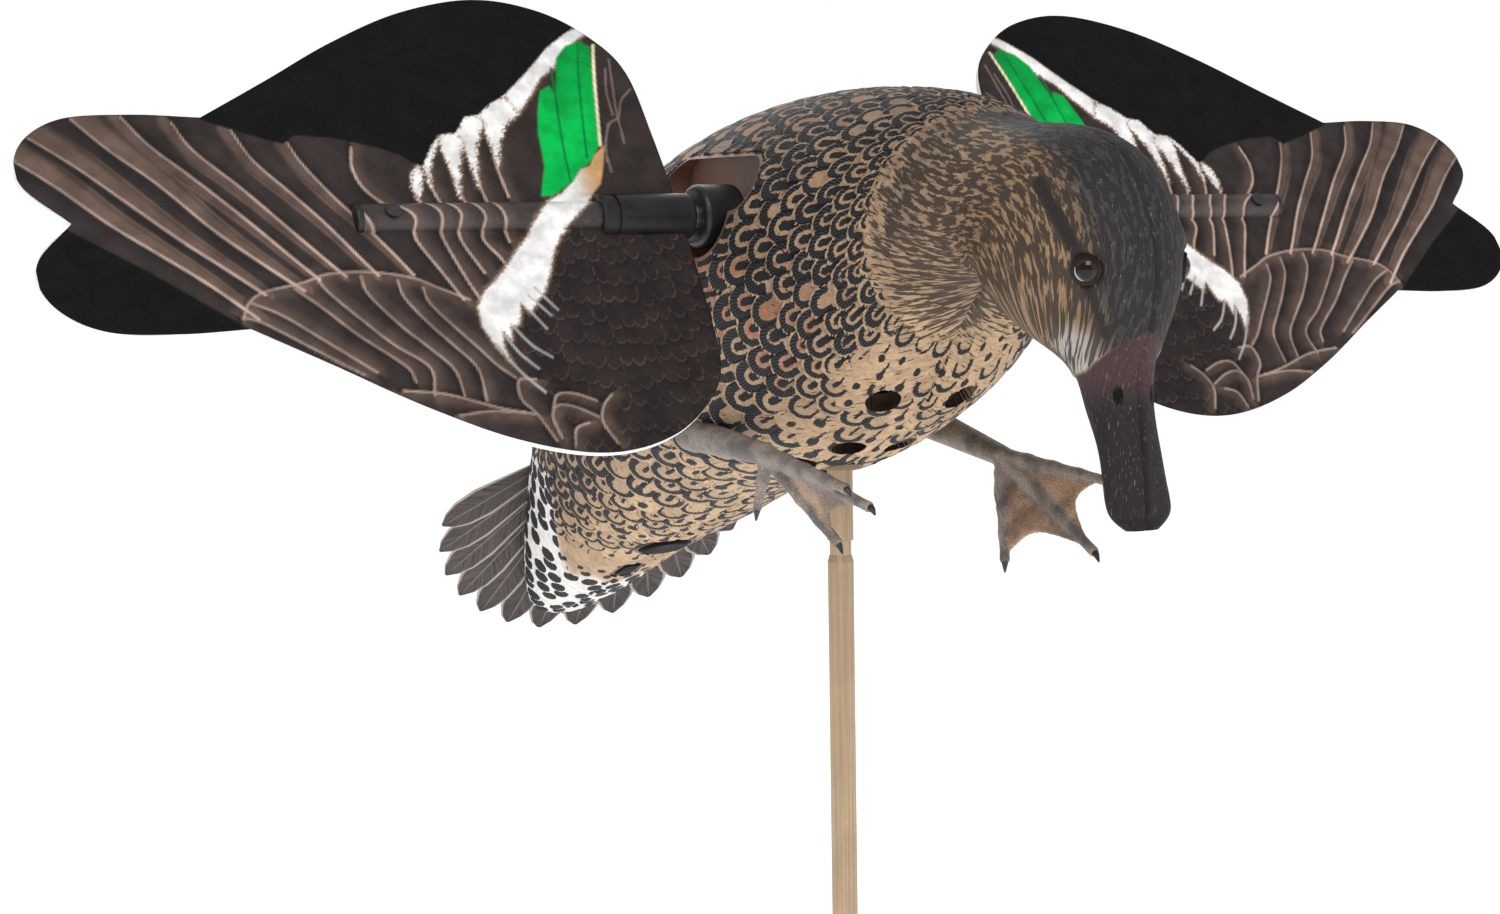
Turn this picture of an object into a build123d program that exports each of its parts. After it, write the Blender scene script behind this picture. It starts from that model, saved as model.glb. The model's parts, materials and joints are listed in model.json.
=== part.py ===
from build123d import *
from math import cos, hypot, radians, sin
import os

# Motion wing decoy: a landing hen teal on a sectional pole, with two panel wings that a motor spins.
# Millimetres. The origin is the centre of the pole's open lower end, with +Z up.
# The duck faces -Y, and +X is its left.

# Driving dimensions
AXIS_Y, AXIS_Z = -14, 430  # the wing axis, parallel to X
WALL = 2.5  # body shell
POLE_R, POLE_BORE_R = 4.75, 3.95
NECK_R, NECK_BORE_R = 3.9, 3.1  # swaged end of the lower section
SHOULDER_Z, UPPER_POLE_Z, POLE_TOP_Z = 306, 312, 398
NECK_TOP_Z = 342
BUSH_R, RECEIVER_BORE_R, RECEIVER_R = 6.3, 6.35, 8.5
RUNNING = 0.05  # radial clearance of parts that turn or slide in each other
SHAFT_R = 2.5
MOTOR_R, MOTOR_HALF = 13.8, 19
HUB_R, HUB_IN, HUB_OUT = 11, 50, 66
SLEEVE_R, SLEEVE_IN, SLEEVE_OUT = 8, 68, 103
TUBE_R, TUBE_BORE_R, TUBE_IN, TUBE_OUT = 5.65, 4.6, 82, 188
STUD_R = 5
WING_LEAN = radians(34)  # the wing sheets lean back from the vertical
SHEET_BACK, SHEET_SPLIT, SHEET_FRONT = -1.4, 0.6, 1.4
FAN_DROP = radians(51)  # the tail fan's plane below the horizontal
FEATHERS, FEATHER_STEP = 14, 7.85
FAN_THICK = 2.4
PLATE_Z, PLATE_THICK = 404, 3
EYE_R = 5

# Cross-sections of the bird: (y, z) on the back, (y, z) on the belly, half width. Each is an ellipse.
BODY_SECTIONS = (
    ((244, 261), (243, 256), 7),
    ((236, 271), (230, 261), 19),
    ((212, 312), (203, 271), 32),
    ((170, 372), (159, 289), 47),
    ((110, 430), (108, 307), 64),
    ((55, 461), (58, 325), 70),
    ((0, 472), (6, 336), 68),
    ((-45, 473), (-36, 352), 61),
    ((-82, 469), (-64, 371), 50),
    ((-104, 462), (-87, 398), 38),
)
HEAD_SECTIONS = (
    BODY_SECTIONS[-1],
    ((-124, 458), (-102, 408), 30),
    ((-147, 456), (-109, 408), 27),
    ((-168, 449), (-112, 405), 27),
    ((-182, 434), (-116, 401), 27),
    ((-188, 415), (-123, 396), 24),
    ((-186, 397), (-135, 389), 17),
    ((-180, 383), (-152, 381), 12.5),
    ((-179.5, 370), (-159, 369), 10.8),
    ((-181, 357), (-167, 357), 10.8),
    ((-182.5, 345), (-172, 345), 11.6),
    ((-183, 337), (-176, 337), 11.4),
    ((-183, 332), (-178, 332), 6),
)

os.makedirs("parts", exist_ok=True)


def write(part, label):
    part.label = label
    export_step(part, f"parts/{label}.step")


def write_pair(part, label):
    """Writes a piece made on the duck's left and its mirror image on the right."""
    write(part, f"{label}_left")
    write(mirror(part, about=Plane.YZ), f"{label}_right")


def section_plane(back, belly):
    upward = Vector(0, back[0] - belly[0], back[1] - belly[1]).normalized()
    middle = (0, (back[0] + belly[0]) / 2, (back[1] + belly[1]) / 2)
    return Plane(origin=middle, x_dir=(1, 0, 0), z_dir=Vector(1, 0, 0).cross(upward))


def skin(sections, inset=0.0):
    """The ellipses of a run of sections, inset by a wall, for a loft."""
    rings = []
    for back, belly, half_width in sections:
        half_height = hypot(back[0] - belly[0], back[1] - belly[1]) / 2
        with BuildSketch(section_plane(back, belly)) as ring:
            Ellipse(half_width - inset, half_height - inset)
        rings.append(ring.sketch)
    return rings


def across(x):
    """The plane square to the wing axis at this distance from the mid-plane."""
    return Plane(origin=(x, AXIS_Y, AXIS_Z), x_dir=(0, 1, 0), z_dir=(1, 0, 0))


# Places of the small things on the skin
VENTS = ((15.7, -56, 366), (11, -25, 347), (18.5, -3, 341))
VENT_R = 6.2
HIP = Vector(50, 20, 352)
PEG_R, PEG_IN = 5, 38
EYE = (16.1, -175.85, 412.2)
CAP_PLANE = Plane(origin=(0, 140.5, 296), x_dir=(1, 0, 0), z_dir=(0, -0.333, -0.943))
SWITCH_PLANE = Plane(origin=(0, 175, 283), x_dir=(1, 0, 0), z_dir=(0, -0.379, -0.926))
PORT_R, PORT_DEPTH = 12.4, 12
SWITCH_LONG, SWITCH_WIDE, SWITCH_DEPTH = 20, 12.5, 11
DOWELS = ((150, 387), (90, 320), (-56, 371.5), (-60, 466.5), (30, 461), (118, 418))
DOWEL_R, DOWEL_HALF, DOWEL_BOSS_R = 2, 8, 4.5
PLATE_POSTS = ((30, -30), (30, 45), (30, 100))
fan_plane = Plane(
    origin=(0, 165, 350), x_dir=(1, 0, 0), z_dir=(0, sin(FAN_DROP), cos(FAN_DROP))
)

# ---------------------------------------------------------------- tail fan


def feather_reach(angle):
    """Centre feathers are the longest."""
    return 131 - 0.3 * abs(angle) - 0.0085 * angle**2


def fan_solid(thickness):
    """Fourteen overlapping feathers, pivoting about a point inside the rump."""
    with BuildPart() as fan:
        with BuildSketch(fan_plane.offset(-thickness / 2)):
            for number in range(FEATHERS):
                angle = (number - (FEATHERS - 1) / 2) * FEATHER_STEP
                reach = feather_reach(angle)
                side = ((9.6, reach - 18), (7, reach - 6), (1.2, reach))
                root = ((4.5, 42), (-4.5, 42))
                other = tuple((-x, y) for x, y in reversed(side))
                Polygon(*root[:1], *side, *other, *root[1:], rotation=-angle, align=None)
        extrude(amount=thickness)
    return fan.part


write(fan_solid(FAN_THICK), "tail_fan")

# ---------------------------------------------------------------- body shells

HEAD_RUNS = ((0, 5), (4, 8), (7, 13))  # crown, face and bill: each run shares its end section with the next
with BuildPart() as outer:
    loft(skin(BODY_SECTIONS))
    for first, last in HEAD_RUNS:
        loft(skin(HEAD_SECTIONS[first:last]))

with BuildPart() as bosses:
    with BuildSketch(Plane.YZ.offset(-DOWEL_HALF - WALL)):
        with Locations(*DOWELS):
            Circle(DOWEL_BOSS_R)
    extrude(amount=2 * (DOWEL_HALF + WALL))
    with BuildSketch(Plane.XY.offset(290)):
        with Locations(*PLATE_POSTS, *[(-x, y) for x, y in PLATE_POSTS]):
            Circle(4)
    extrude(amount=PLATE_Z - 290)

# The hollow of the body ends at the rump. A capsule-shaped one runs on through the neck into the head
CAPSULE_Z, CAPSULE_R, CAPSULE_BACK, CAPSULE_FRONT = 432, 19, -62, -155
with BuildPart() as hollow:
    loft(skin(BODY_SECTIONS[3:9], WALL))
    with BuildSketch(Plane.YZ):
        with BuildLine():
            Line((CAPSULE_BACK + CAPSULE_R, CAPSULE_Z), (CAPSULE_FRONT - CAPSULE_R, CAPSULE_Z))
            ThreePointArc(
                (CAPSULE_FRONT - CAPSULE_R, CAPSULE_Z),
                (CAPSULE_FRONT - CAPSULE_R * cos(radians(45)), CAPSULE_Z + CAPSULE_R * sin(radians(45))),
                (CAPSULE_FRONT, CAPSULE_Z + CAPSULE_R),
            )
            Line((CAPSULE_FRONT, CAPSULE_Z + CAPSULE_R), (CAPSULE_BACK, CAPSULE_Z + CAPSULE_R))
            ThreePointArc(
                (CAPSULE_BACK, CAPSULE_Z + CAPSULE_R),
                (CAPSULE_BACK + CAPSULE_R * cos(radians(45)), CAPSULE_Z + CAPSULE_R * sin(radians(45))),
                (CAPSULE_BACK + CAPSULE_R, CAPSULE_Z),
            )
        make_face()
    revolve(axis=Axis((0, 0, CAPSULE_Z), (0, 1, 0)))
    add(bosses.part, mode=Mode.SUBTRACT)

# The pocket in each flank: a round recess for the hub, run into a slot that reaches back along the shoulder
POCKET_FLOOR, POCKET_OUT, POCKET_WALL = 42, 90, 1.6


def pocket_outline(inset=0.0):
    with Locations((0, 0)):
        Circle(16 - inset)
    with Locations((10, 11)):
        SlotCenterToCenter(48, 2 * (11 - inset))


with BuildPart() as pocket_hole:
    with BuildSketch(across(POCKET_FLOOR)):
        pocket_outline()
    extrude(amount=POCKET_OUT - POCKET_FLOOR)

with BuildPart() as wing_pocket:
    add(pocket_hole.part)
    add(outer.part, mode=Mode.INTERSECT)
    with BuildSketch(across(POCKET_FLOOR + POCKET_WALL)):
        pocket_outline(POCKET_WALL)
    extrude(amount=POCKET_OUT, mode=Mode.SUBTRACT)
    with BuildSketch(across(POCKET_FLOOR - 6)):
        Circle(7.5)
    extrude(amount=6)
    with BuildSketch(across(POCKET_FLOOR - 6)):
        Circle(4)
    extrude(amount=6 + POCKET_WALL, mode=Mode.SUBTRACT)
write_pair(wing_pocket.part, "wing_pocket")

with BuildPart() as whole_shell:
    add(outer.part)
    add(hollow.part, mode=Mode.SUBTRACT)
    add(pocket_hole.part, mode=Mode.SUBTRACT)
    add(mirror(pocket_hole.part, about=Plane.YZ), mode=Mode.SUBTRACT)
    add(fan_solid(FAN_THICK + 0.2), mode=Mode.SUBTRACT)
    for vent_x, vent_y, vent_z in VENTS:
        for side in (-1, 1):
            with BuildSketch(Plane(origin=(side * vent_x, vent_y, vent_z), z_dir=(side * 0.3, -0.4, -0.87))):
                Circle(VENT_R)
            extrude(amount=9, both=True, mode=Mode.SUBTRACT)
    with BuildSketch(CAP_PLANE.offset(-PORT_DEPTH)):
        Circle(PORT_R)
    extrude(amount=2 * PORT_DEPTH, mode=Mode.SUBTRACT)
    with BuildSketch(SWITCH_PLANE.offset(-SWITCH_DEPTH)):
        SlotOverall(SWITCH_LONG, SWITCH_WIDE, rotation=90)
    extrude(amount=2 * SWITCH_DEPTH, mode=Mode.SUBTRACT)
    with BuildSketch(Plane.XY.offset(SHOULDER_Z)):
        Circle(RECEIVER_R)
    extrude(amount=60, mode=Mode.SUBTRACT)
    with BuildSketch(Plane.YZ.offset(-60)):
        with Locations((HIP.Y, HIP.Z)):
            Circle(PEG_R)
    extrude(amount=120, mode=Mode.SUBTRACT)
    with BuildSketch(Plane.YZ.offset(-DOWEL_HALF)):
        with Locations(*DOWELS):
            Circle(DOWEL_R)
    extrude(amount=2 * DOWEL_HALF, mode=Mode.SUBTRACT)

with BuildPart() as body_shell:
    add(whole_shell.part)
    split(bisect_by=Plane.YZ, keep=Keep.TOP)
    with Locations(EYE):
        Sphere(EYE_R, rotation=(0, 0, 180), mode=Mode.SUBTRACT)
write_pair(body_shell.part, "body_shell")

with BuildPart() as seam_dowels:
    with BuildSketch(Plane.YZ.offset(-DOWEL_HALF)):
        with Locations(*DOWELS):
            Circle(DOWEL_R)
    extrude(amount=2 * DOWEL_HALF)
write(seam_dowels.part, "seam_dowels")

with BuildPart() as eye:
    with Locations(EYE):
        Sphere(EYE_R)
write_pair(eye.part, "eye")

# ---------------------------------------------------------------- feet


def bone(start, end, start_r, end_r):
    """A tapered limb with a round knuckle at its start."""
    with BuildPart() as limb:
        with BuildSketch(Plane(origin=start, z_dir=end - start)):
            Circle(start_r)
        with BuildSketch(Plane(origin=end, z_dir=end - start)):
            Circle(end_r)
        loft()
        with Locations(start):
            Sphere(start_r)
    return limb.part


def web(ankle, tip, next_tip):
    """The skin between two toes, with a hollowed free edge."""
    flat = Plane(origin=ankle, x_dir=tip - ankle, z_dir=(tip - ankle).cross(next_tip - ankle))
    slack = (tip + next_tip) * 0.44 + ankle * 0.12
    ends = [flat.to_local_coords(point * 0.94 + ankle * 0.06) for point in (tip, next_tip)]
    middle = flat.to_local_coords(slack)
    with BuildPart() as skin_web:
        with BuildSketch(flat):
            Polygon((0, 0), (ends[0].X, ends[0].Y), (middle.X, middle.Y), (ends[1].X, ends[1].Y), align=None)
        extrude(amount=0.6, both=True)
    return skin_web.part


def foot_solid(hip, ankle, toes, hind, shell):
    limbs = [bone(hip, ankle, 6.5, 3.6), bone(ankle, hind, 3.0, 1.0)]
    limbs += [bone(ankle, toe, 3.6, 1.1) for toe in toes]
    limbs += [web(ankle, toes[0], toes[1]), web(ankle, toes[1], toes[2])]
    inward = -1 if hip.X > 0 else 1
    with BuildPart() as foot:
        add(limbs)
        add(shell, mode=Mode.SUBTRACT)
        with BuildSketch(Plane.YZ.offset(hip.X)):
            with Locations((hip.Y, hip.Z)):
                Circle(PEG_R)
        extrude(amount=inward * (abs(hip.X) - PEG_IN))
        with BuildSketch(Plane.YZ.offset(hip.X)):
            with Locations((hip.Y, hip.Z)):
                Circle(1.4)
        extrude(amount=inward * (abs(hip.X) - PEG_IN), mode=Mode.SUBTRACT)
    return foot.part


left_toes = (Vector(36, -53, 307), Vector(46, -93, 313), Vector(55, -87, 337))
right_toes = (Vector(-41, -67, 320), Vector(-47, -98, 335), Vector(-53, -93, 341))
write(
    foot_solid(HIP, Vector(49, -33, 342), left_toes, Vector(50, -28, 328.5), outer.part),
    "foot_left",
)
write(
    foot_solid(
        Vector(-HIP.X, HIP.Y, HIP.Z), Vector(-49, -34, 348), right_toes, Vector(-50, -28, 329), outer.part
    ),
    "foot_right",
)

with BuildPart() as foot_screws:
    for side in (-1, 1):
        with BuildSketch(Plane.YZ.offset(side * PEG_IN)):
            with Locations((HIP.Y, HIP.Z)):
                Circle(1.4)
        extrude(amount=side * 9)
        with BuildSketch(Plane.YZ.offset(side * PEG_IN)):
            with Locations((HIP.Y, HIP.Z)):
                Circle(3.4)
        extrude(amount=-side * 2.2)
write(foot_screws.part, "foot_screws")

# ---------------------------------------------------------------- pole, its bush and receiver

with BuildPart() as lower_pole:
    with BuildSketch(Plane.XZ):
        with BuildLine():
            Polyline(
                (POLE_BORE_R, 0),
                (POLE_R, 0),
                (POLE_R, SHOULDER_Z - 2),
                (NECK_R + 0.3, SHOULDER_Z),
                (NECK_R, SHOULDER_Z + 0.5),
                (NECK_R, NECK_TOP_Z),
                (NECK_BORE_R, NECK_TOP_Z),
                (NECK_BORE_R, SHOULDER_Z - 2),
                (POLE_BORE_R, SHOULDER_Z - 6),
                (POLE_BORE_R, 0),
            )
        make_face()
    revolve(axis=Axis.Z)
write(lower_pole.part, "lower_pole")

with BuildPart() as upper_pole:
    with BuildSketch(Plane.XY.offset(UPPER_POLE_Z)):
        Circle(POLE_R)
        Circle(POLE_BORE_R, mode=Mode.SUBTRACT)
    extrude(amount=POLE_TOP_Z - UPPER_POLE_Z)
write(upper_pole.part, "upper_pole")

BUSH_LOW, BUSH_CAP = 340, 2
with BuildPart() as pole_bush:
    with BuildSketch(Plane.XY.offset(BUSH_LOW)):
        Circle(BUSH_R)
    extrude(amount=POLE_TOP_Z + 0.2 + BUSH_CAP - BUSH_LOW)
    with BuildSketch(Plane.XY.offset(BUSH_LOW - 2)):
        Circle(RECEIVER_R - 0.3)
    extrude(amount=2)
    with BuildSketch(Plane.XY.offset(BUSH_LOW - 2)):
        Circle(POLE_R + RUNNING)
    extrude(amount=POLE_TOP_Z + 0.2 - BUSH_LOW + 2, mode=Mode.SUBTRACT)
write(pole_bush.part, "pole_bush")

RECEIVER_LOW = BUSH_LOW + 0.2
with BuildPart() as pole_receiver:
    with BuildSketch(Plane.XY.offset(RECEIVER_LOW)):
        Circle(RECEIVER_R)
    extrude(amount=PLATE_Z - RECEIVER_LOW)
    with BuildSketch(Plane.XY.offset(PLATE_Z - 4)):
        Circle(15)
    extrude(amount=4)
    with BuildSketch(Plane.XY.offset(RECEIVER_LOW)):
        Circle(RECEIVER_BORE_R)
    extrude(amount=POLE_TOP_Z + 0.5 + BUSH_CAP - RECEIVER_LOW, mode=Mode.SUBTRACT)
write(pole_receiver.part, "pole_receiver")

# ---------------------------------------------------------------- inside: plate, battery, board

PLATE_X, PLATE_FRONT, PLATE_BACK = 36, -38, 112
with BuildPart() as chassis_plate:
    with BuildSketch(Plane.XY.offset(PLATE_Z)):
        with Locations((0, (PLATE_FRONT + PLATE_BACK) / 2)):
            RectangleRounded(2 * PLATE_X, PLATE_BACK - PLATE_FRONT, 5)
        with Locations(*PLATE_POSTS, *[(-x, y) for x, y in PLATE_POSTS]):
            Circle(1.4, mode=Mode.SUBTRACT)
    extrude(amount=PLATE_THICK)
write(chassis_plate.part, "chassis_plate")

with BuildPart() as plate_screws:
    with BuildSketch(Plane.XY.offset(PLATE_Z + PLATE_THICK)):
        with Locations(*PLATE_POSTS, *[(-x, y) for x, y in PLATE_POSTS]):
            Circle(3)
    extrude(amount=1.8)
    with BuildSketch(Plane.XY.offset(PLATE_Z)):
        with Locations(*PLATE_POSTS, *[(-x, y) for x, y in PLATE_POSTS]):
            Circle(1.4)
    extrude(amount=PLATE_THICK)
write(plate_screws.part, "plate_screws")

TRAY_Y, TRAY_LONG, TRAY_WIDE, TRAY_DEEP = 75, 74, 48, 28
with BuildPart() as battery_tray:
    with BuildSketch(Plane.XY.offset(PLATE_Z - TRAY_DEEP)):
        with Locations((0, TRAY_Y)):
            RectangleRounded(TRAY_WIDE, TRAY_LONG, 3)
    extrude(amount=TRAY_DEEP)
    offset(amount=-1.6, openings=battery_tray.faces().sort_by(Axis.Z)[-1])
write(battery_tray.part, "battery_tray")

CELL_R, PACK_LONG, PACK_Z = 9.4, 66, 389
with BuildPart() as battery_pack:
    with BuildSketch(Plane(origin=(0, TRAY_Y - PACK_LONG / 2, PACK_Z), x_dir=(1, 0, 0), z_dir=(0, 1, 0))):
        SlotOverall(4 * CELL_R, 2 * CELL_R)
    extrude(amount=PACK_LONG)
    fillet(battery_pack.edges().group_by(Axis.Y)[0] + battery_pack.edges().group_by(Axis.Y)[-1], 1)
write(battery_pack.part, "battery_pack")

BOARD_Y = 72
with BuildPart() as control_board:
    with BuildSketch(Plane.XY.offset(PLATE_Z + PLATE_THICK + 3)):
        with Locations((0, BOARD_Y)):
            Rectangle(40, 52)
    extrude(amount=1.6)
    with BuildSketch(Plane.XY.offset(PLATE_Z + PLATE_THICK)):
        with Locations((0, BOARD_Y)):
            with GridLocations(32, 44, 2, 2):
                Circle(2.5)
    extrude(amount=3)
    with BuildSketch(Plane.XY.offset(PLATE_Z + PLATE_THICK + 4.6)):
        with Locations((-9, BOARD_Y - 8), (8, BOARD_Y + 4)):
            Rectangle(12, 10)
        with Locations((10, BOARD_Y - 18), (-11, BOARD_Y + 14)):
            Circle(3.5)
    extrude(amount=3)
write(control_board.part, "control_board")

# ---------------------------------------------------------------- motor and shaft

SADDLE_X, SADDLE_Y = 16, 21
with BuildPart() as motor_saddle:
    with BuildSketch(Plane.XY.offset(PLATE_Z + PLATE_THICK)):
        with Locations((0, AXIS_Y)):
            Rectangle(2 * SADDLE_X, 2 * SADDLE_Y)
    extrude(amount=AXIS_Z - PLATE_Z - PLATE_THICK)
    with BuildSketch(across(-SADDLE_X)):
        Circle(MOTOR_R)
    extrude(amount=2 * SADDLE_X, mode=Mode.SUBTRACT)
    with BuildSketch(Plane.XY.offset(AXIS_Z - 12)):
        with Locations((0, AXIS_Y)):
            with GridLocations(22, 35, 2, 2):
                Circle(1.5)
    extrude(amount=12, mode=Mode.SUBTRACT)
write(motor_saddle.part, "motor_saddle")

CLAMP_HIGH = 17
with BuildPart() as motor_clamp:
    with BuildSketch(Plane.XY.offset(AXIS_Z)):
        with Locations((0, AXIS_Y)):
            Rectangle(2 * SADDLE_X, 2 * SADDLE_Y)
    extrude(amount=CLAMP_HIGH)
    fillet(motor_clamp.edges().filter_by(Axis.X).group_by(Axis.Z)[-1], 5)
    with BuildSketch(across(-SADDLE_X)):
        Circle(MOTOR_R)
    extrude(amount=2 * SADDLE_X, mode=Mode.SUBTRACT)
    with BuildSketch(Plane.XY.offset(AXIS_Z)):
        with Locations((0, AXIS_Y)):
            with GridLocations(22, 35, 2, 2):
                Circle(1.5)
    extrude(amount=CLAMP_HIGH, mode=Mode.SUBTRACT)
    with BuildSketch(Plane.XY.offset(AXIS_Z + 10)):
        with Locations((0, AXIS_Y)):
            with GridLocations(22, 35, 2, 2):
                Circle(3)
    extrude(amount=CLAMP_HIGH, mode=Mode.SUBTRACT)
write(motor_clamp.part, "motor_clamp")

with BuildPart() as motor_screws:
    with BuildSketch(Plane.XY.offset(AXIS_Z - 12)):
        with Locations((0, AXIS_Y)):
            with GridLocations(22, 35, 2, 2):
                Circle(1.5)
    extrude(amount=22)
    with BuildSketch(Plane.XY.offset(AXIS_Z + 10)):
        with Locations((0, AXIS_Y)):
            with GridLocations(22, 35, 2, 2):
                Circle(2.8)
    extrude(amount=2.5)
write(motor_screws.part, "motor_screws")

with BuildPart() as motor:
    with BuildSketch(across(-MOTOR_HALF)):
        Circle(MOTOR_R)
    extrude(amount=2 * MOTOR_HALF)
    fillet(motor.edges(), 1)
    with BuildSketch(across(-MOTOR_HALF - 3)):
        Circle(5)
    extrude(amount=2 * MOTOR_HALF + 6)
    with BuildSketch(across(-MOTOR_HALF - 3)):
        Circle(SHAFT_R + RUNNING)
    extrude(amount=2 * MOTOR_HALF + 6, mode=Mode.SUBTRACT)
write(motor.part, "motor")

SHAFT_HALF = 57.8
with BuildPart() as wing_shaft:
    with BuildSketch(across(-SHAFT_HALF)):
        Circle(SHAFT_R)
    extrude(amount=2 * SHAFT_HALF)
    chamfer(wing_shaft.edges(), 0.4)
write(wing_shaft.part, "wing_shaft")

with BuildPart() as shaft_bush:
    with BuildSketch(across(POCKET_FLOOR - 6)):
        Circle(4)
    extrude(amount=6 + POCKET_WALL)
    with BuildSketch(across(POCKET_FLOOR + POCKET_WALL)):
        Circle(6.5)
    extrude(amount=1.5)
    with BuildSketch(across(POCKET_FLOOR - 6)):
        Circle(SHAFT_R + RUNNING)
    extrude(amount=20, mode=Mode.SUBTRACT)
write_pair(shaft_bush.part, "shaft_bush")

# ---------------------------------------------------------------- hubs, on the shaft

SOCKET_IN = 58
CLIP_LOW, CLIP_THICK, CLIP_WIDE = -9.2, 0.8, 5
GRUB_X, GRUB_R = 54, 1.5
CLIP_IN = HUB_OUT - 5
clip_plane = Plane(origin=(CLIP_IN, AXIS_Y, AXIS_Z + CLIP_LOW))  # its strip lies just under the wing sleeve

with BuildPart() as wing_hub:
    with BuildSketch(across(HUB_IN)):
        Circle(HUB_R)
    extrude(amount=HUB_OUT - HUB_IN)
    fillet(wing_hub.edges(), 2)
    with BuildSketch(across(HUB_IN)):
        Circle(SHAFT_R)
    extrude(amount=SOCKET_IN - HUB_IN, mode=Mode.SUBTRACT)
    with BuildSketch(across(SOCKET_IN)):
        Circle(STUD_R + RUNNING)
    extrude(amount=HUB_OUT - SOCKET_IN, mode=Mode.SUBTRACT)
    with BuildSketch(Plane(origin=(GRUB_X, AXIS_Y, AXIS_Z), z_dir=(0, 0, 1))):
        Circle(GRUB_R)
    extrude(amount=HUB_R + 1, mode=Mode.SUBTRACT)
    with BuildSketch(clip_plane):
        Rectangle(12, CLIP_WIDE, align=(Align.MIN, Align.CENTER))
    extrude(amount=CLIP_THICK, mode=Mode.SUBTRACT)
write_pair(wing_hub.part, "wing_hub")

with BuildPart() as hub_clip:
    with BuildSketch(clip_plane):
        Rectangle(12, CLIP_WIDE, align=(Align.MIN, Align.CENTER))
    extrude(amount=CLIP_THICK)
    with BuildSketch(clip_plane):
        with Locations((11, 0)):
            Rectangle(2, CLIP_WIDE)
    extrude(amount=-1.6)
write_pair(hub_clip.part, "hub_clip")

with BuildPart() as hub_magnet:
    with BuildSketch(across(SOCKET_IN)):
        Circle(STUD_R)
    extrude(amount=2.5)
write_pair(hub_magnet.part, "hub_magnet")

with BuildPart() as hub_screws:
    for side in (-1, 1):
        with BuildSketch(Plane(origin=(side * GRUB_X, AXIS_Y, AXIS_Z + SHAFT_R), z_dir=(0, 0, 1))):
            Circle(GRUB_R)
        extrude(amount=6)
write(hub_screws.part, "hub_screws")

# ---------------------------------------------------------------- wings

STUD_IN, STUD_OUT = 60.7, 81.8
RIVET_X, RIVET_R, RIVET_HEAD_R = 178, 1.5, 2.7
wing_plane = Plane(
    origin=(0, AXIS_Y, AXIS_Z), x_dir=(1, 0, 0), z_dir=(0, -cos(WING_LEAN), sin(WING_LEAN))
)

with BuildPart() as wing_stud:
    with BuildSketch(across(STUD_IN)):
        Circle(STUD_R)
    extrude(amount=STUD_OUT - STUD_IN)
    chamfer(wing_stud.edges().group_by(Axis.X)[0], 0.6)
write_pair(wing_stud.part, "wing_stud")

with BuildPart() as wing_sleeve:
    with BuildSketch(across(SLEEVE_IN)):
        Circle(SLEEVE_R)
    extrude(amount=SLEEVE_OUT - SLEEVE_IN)
    fillet(wing_sleeve.edges().group_by(Axis.X)[0], 1.2)
    chamfer(wing_sleeve.edges().group_by(Axis.X)[-1], 0.8)
    with BuildSketch(across(SLEEVE_OUT - 6)):
        Circle(SLEEVE_R)
        Circle(SLEEVE_R - 0.6, mode=Mode.SUBTRACT)
    extrude(amount=1.2, mode=Mode.SUBTRACT)
    with BuildSketch(across(SLEEVE_IN)):
        Circle(STUD_R)
    extrude(amount=SLEEVE_OUT - SLEEVE_IN, mode=Mode.SUBTRACT)
    with BuildSketch(across(TUBE_IN)):
        Circle(TUBE_R)
    extrude(amount=SLEEVE_OUT - TUBE_IN, mode=Mode.SUBTRACT)
write_pair(wing_sleeve.part, "wing_sleeve")

with BuildPart() as wing_tube:
    with BuildSketch(across(TUBE_IN)):
        Circle(TUBE_R)
        Circle(TUBE_BORE_R, mode=Mode.SUBTRACT)
    extrude(amount=TUBE_OUT - TUBE_IN)
    with BuildSketch(wing_plane.offset(-TUBE_R - 1)):
        with Locations((RIVET_X, 0)):
            Circle(RIVET_R)
    extrude(amount=2 * TUBE_R + 2, mode=Mode.SUBTRACT)
write_pair(wing_tube.part, "wing_tube")

with BuildPart() as tube_plug:
    with BuildSketch(across(TUBE_OUT - 14)):
        Circle(TUBE_BORE_R)
    extrude(amount=14)
    with BuildSketch(across(TUBE_OUT)):
        Circle(TUBE_R)
    extrude(amount=2.4)
    fillet(tube_plug.edges().group_by(Axis.X)[-1], 1)
    with BuildSketch(wing_plane.offset(-TUBE_R - 1)):
        with Locations((RIVET_X, 0)):
            Circle(RIVET_R)
    extrude(amount=2 * TUBE_R + 2, mode=Mode.SUBTRACT)
write_pair(tube_plug.part, "tube_plug")

with BuildPart() as wing_rivet:
    with BuildSketch(wing_plane.offset(-TUBE_R)):
        with Locations((RIVET_X, 0)):
            Circle(RIVET_R)
    extrude(amount=2 * TUBE_R)
    with BuildSketch(wing_plane.offset(TUBE_R)):
        with Locations((RIVET_X, 0)):
            Circle(RIVET_HEAD_R)
    extrude(amount=0.9)
    with BuildSketch(wing_plane.offset(-TUBE_R - 0.9)):
        with Locations((RIVET_X, 0)):
            Circle(RIVET_HEAD_R)
    extrude(amount=0.9)
write_pair(wing_rivet.part, "wing_rivet")


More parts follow.
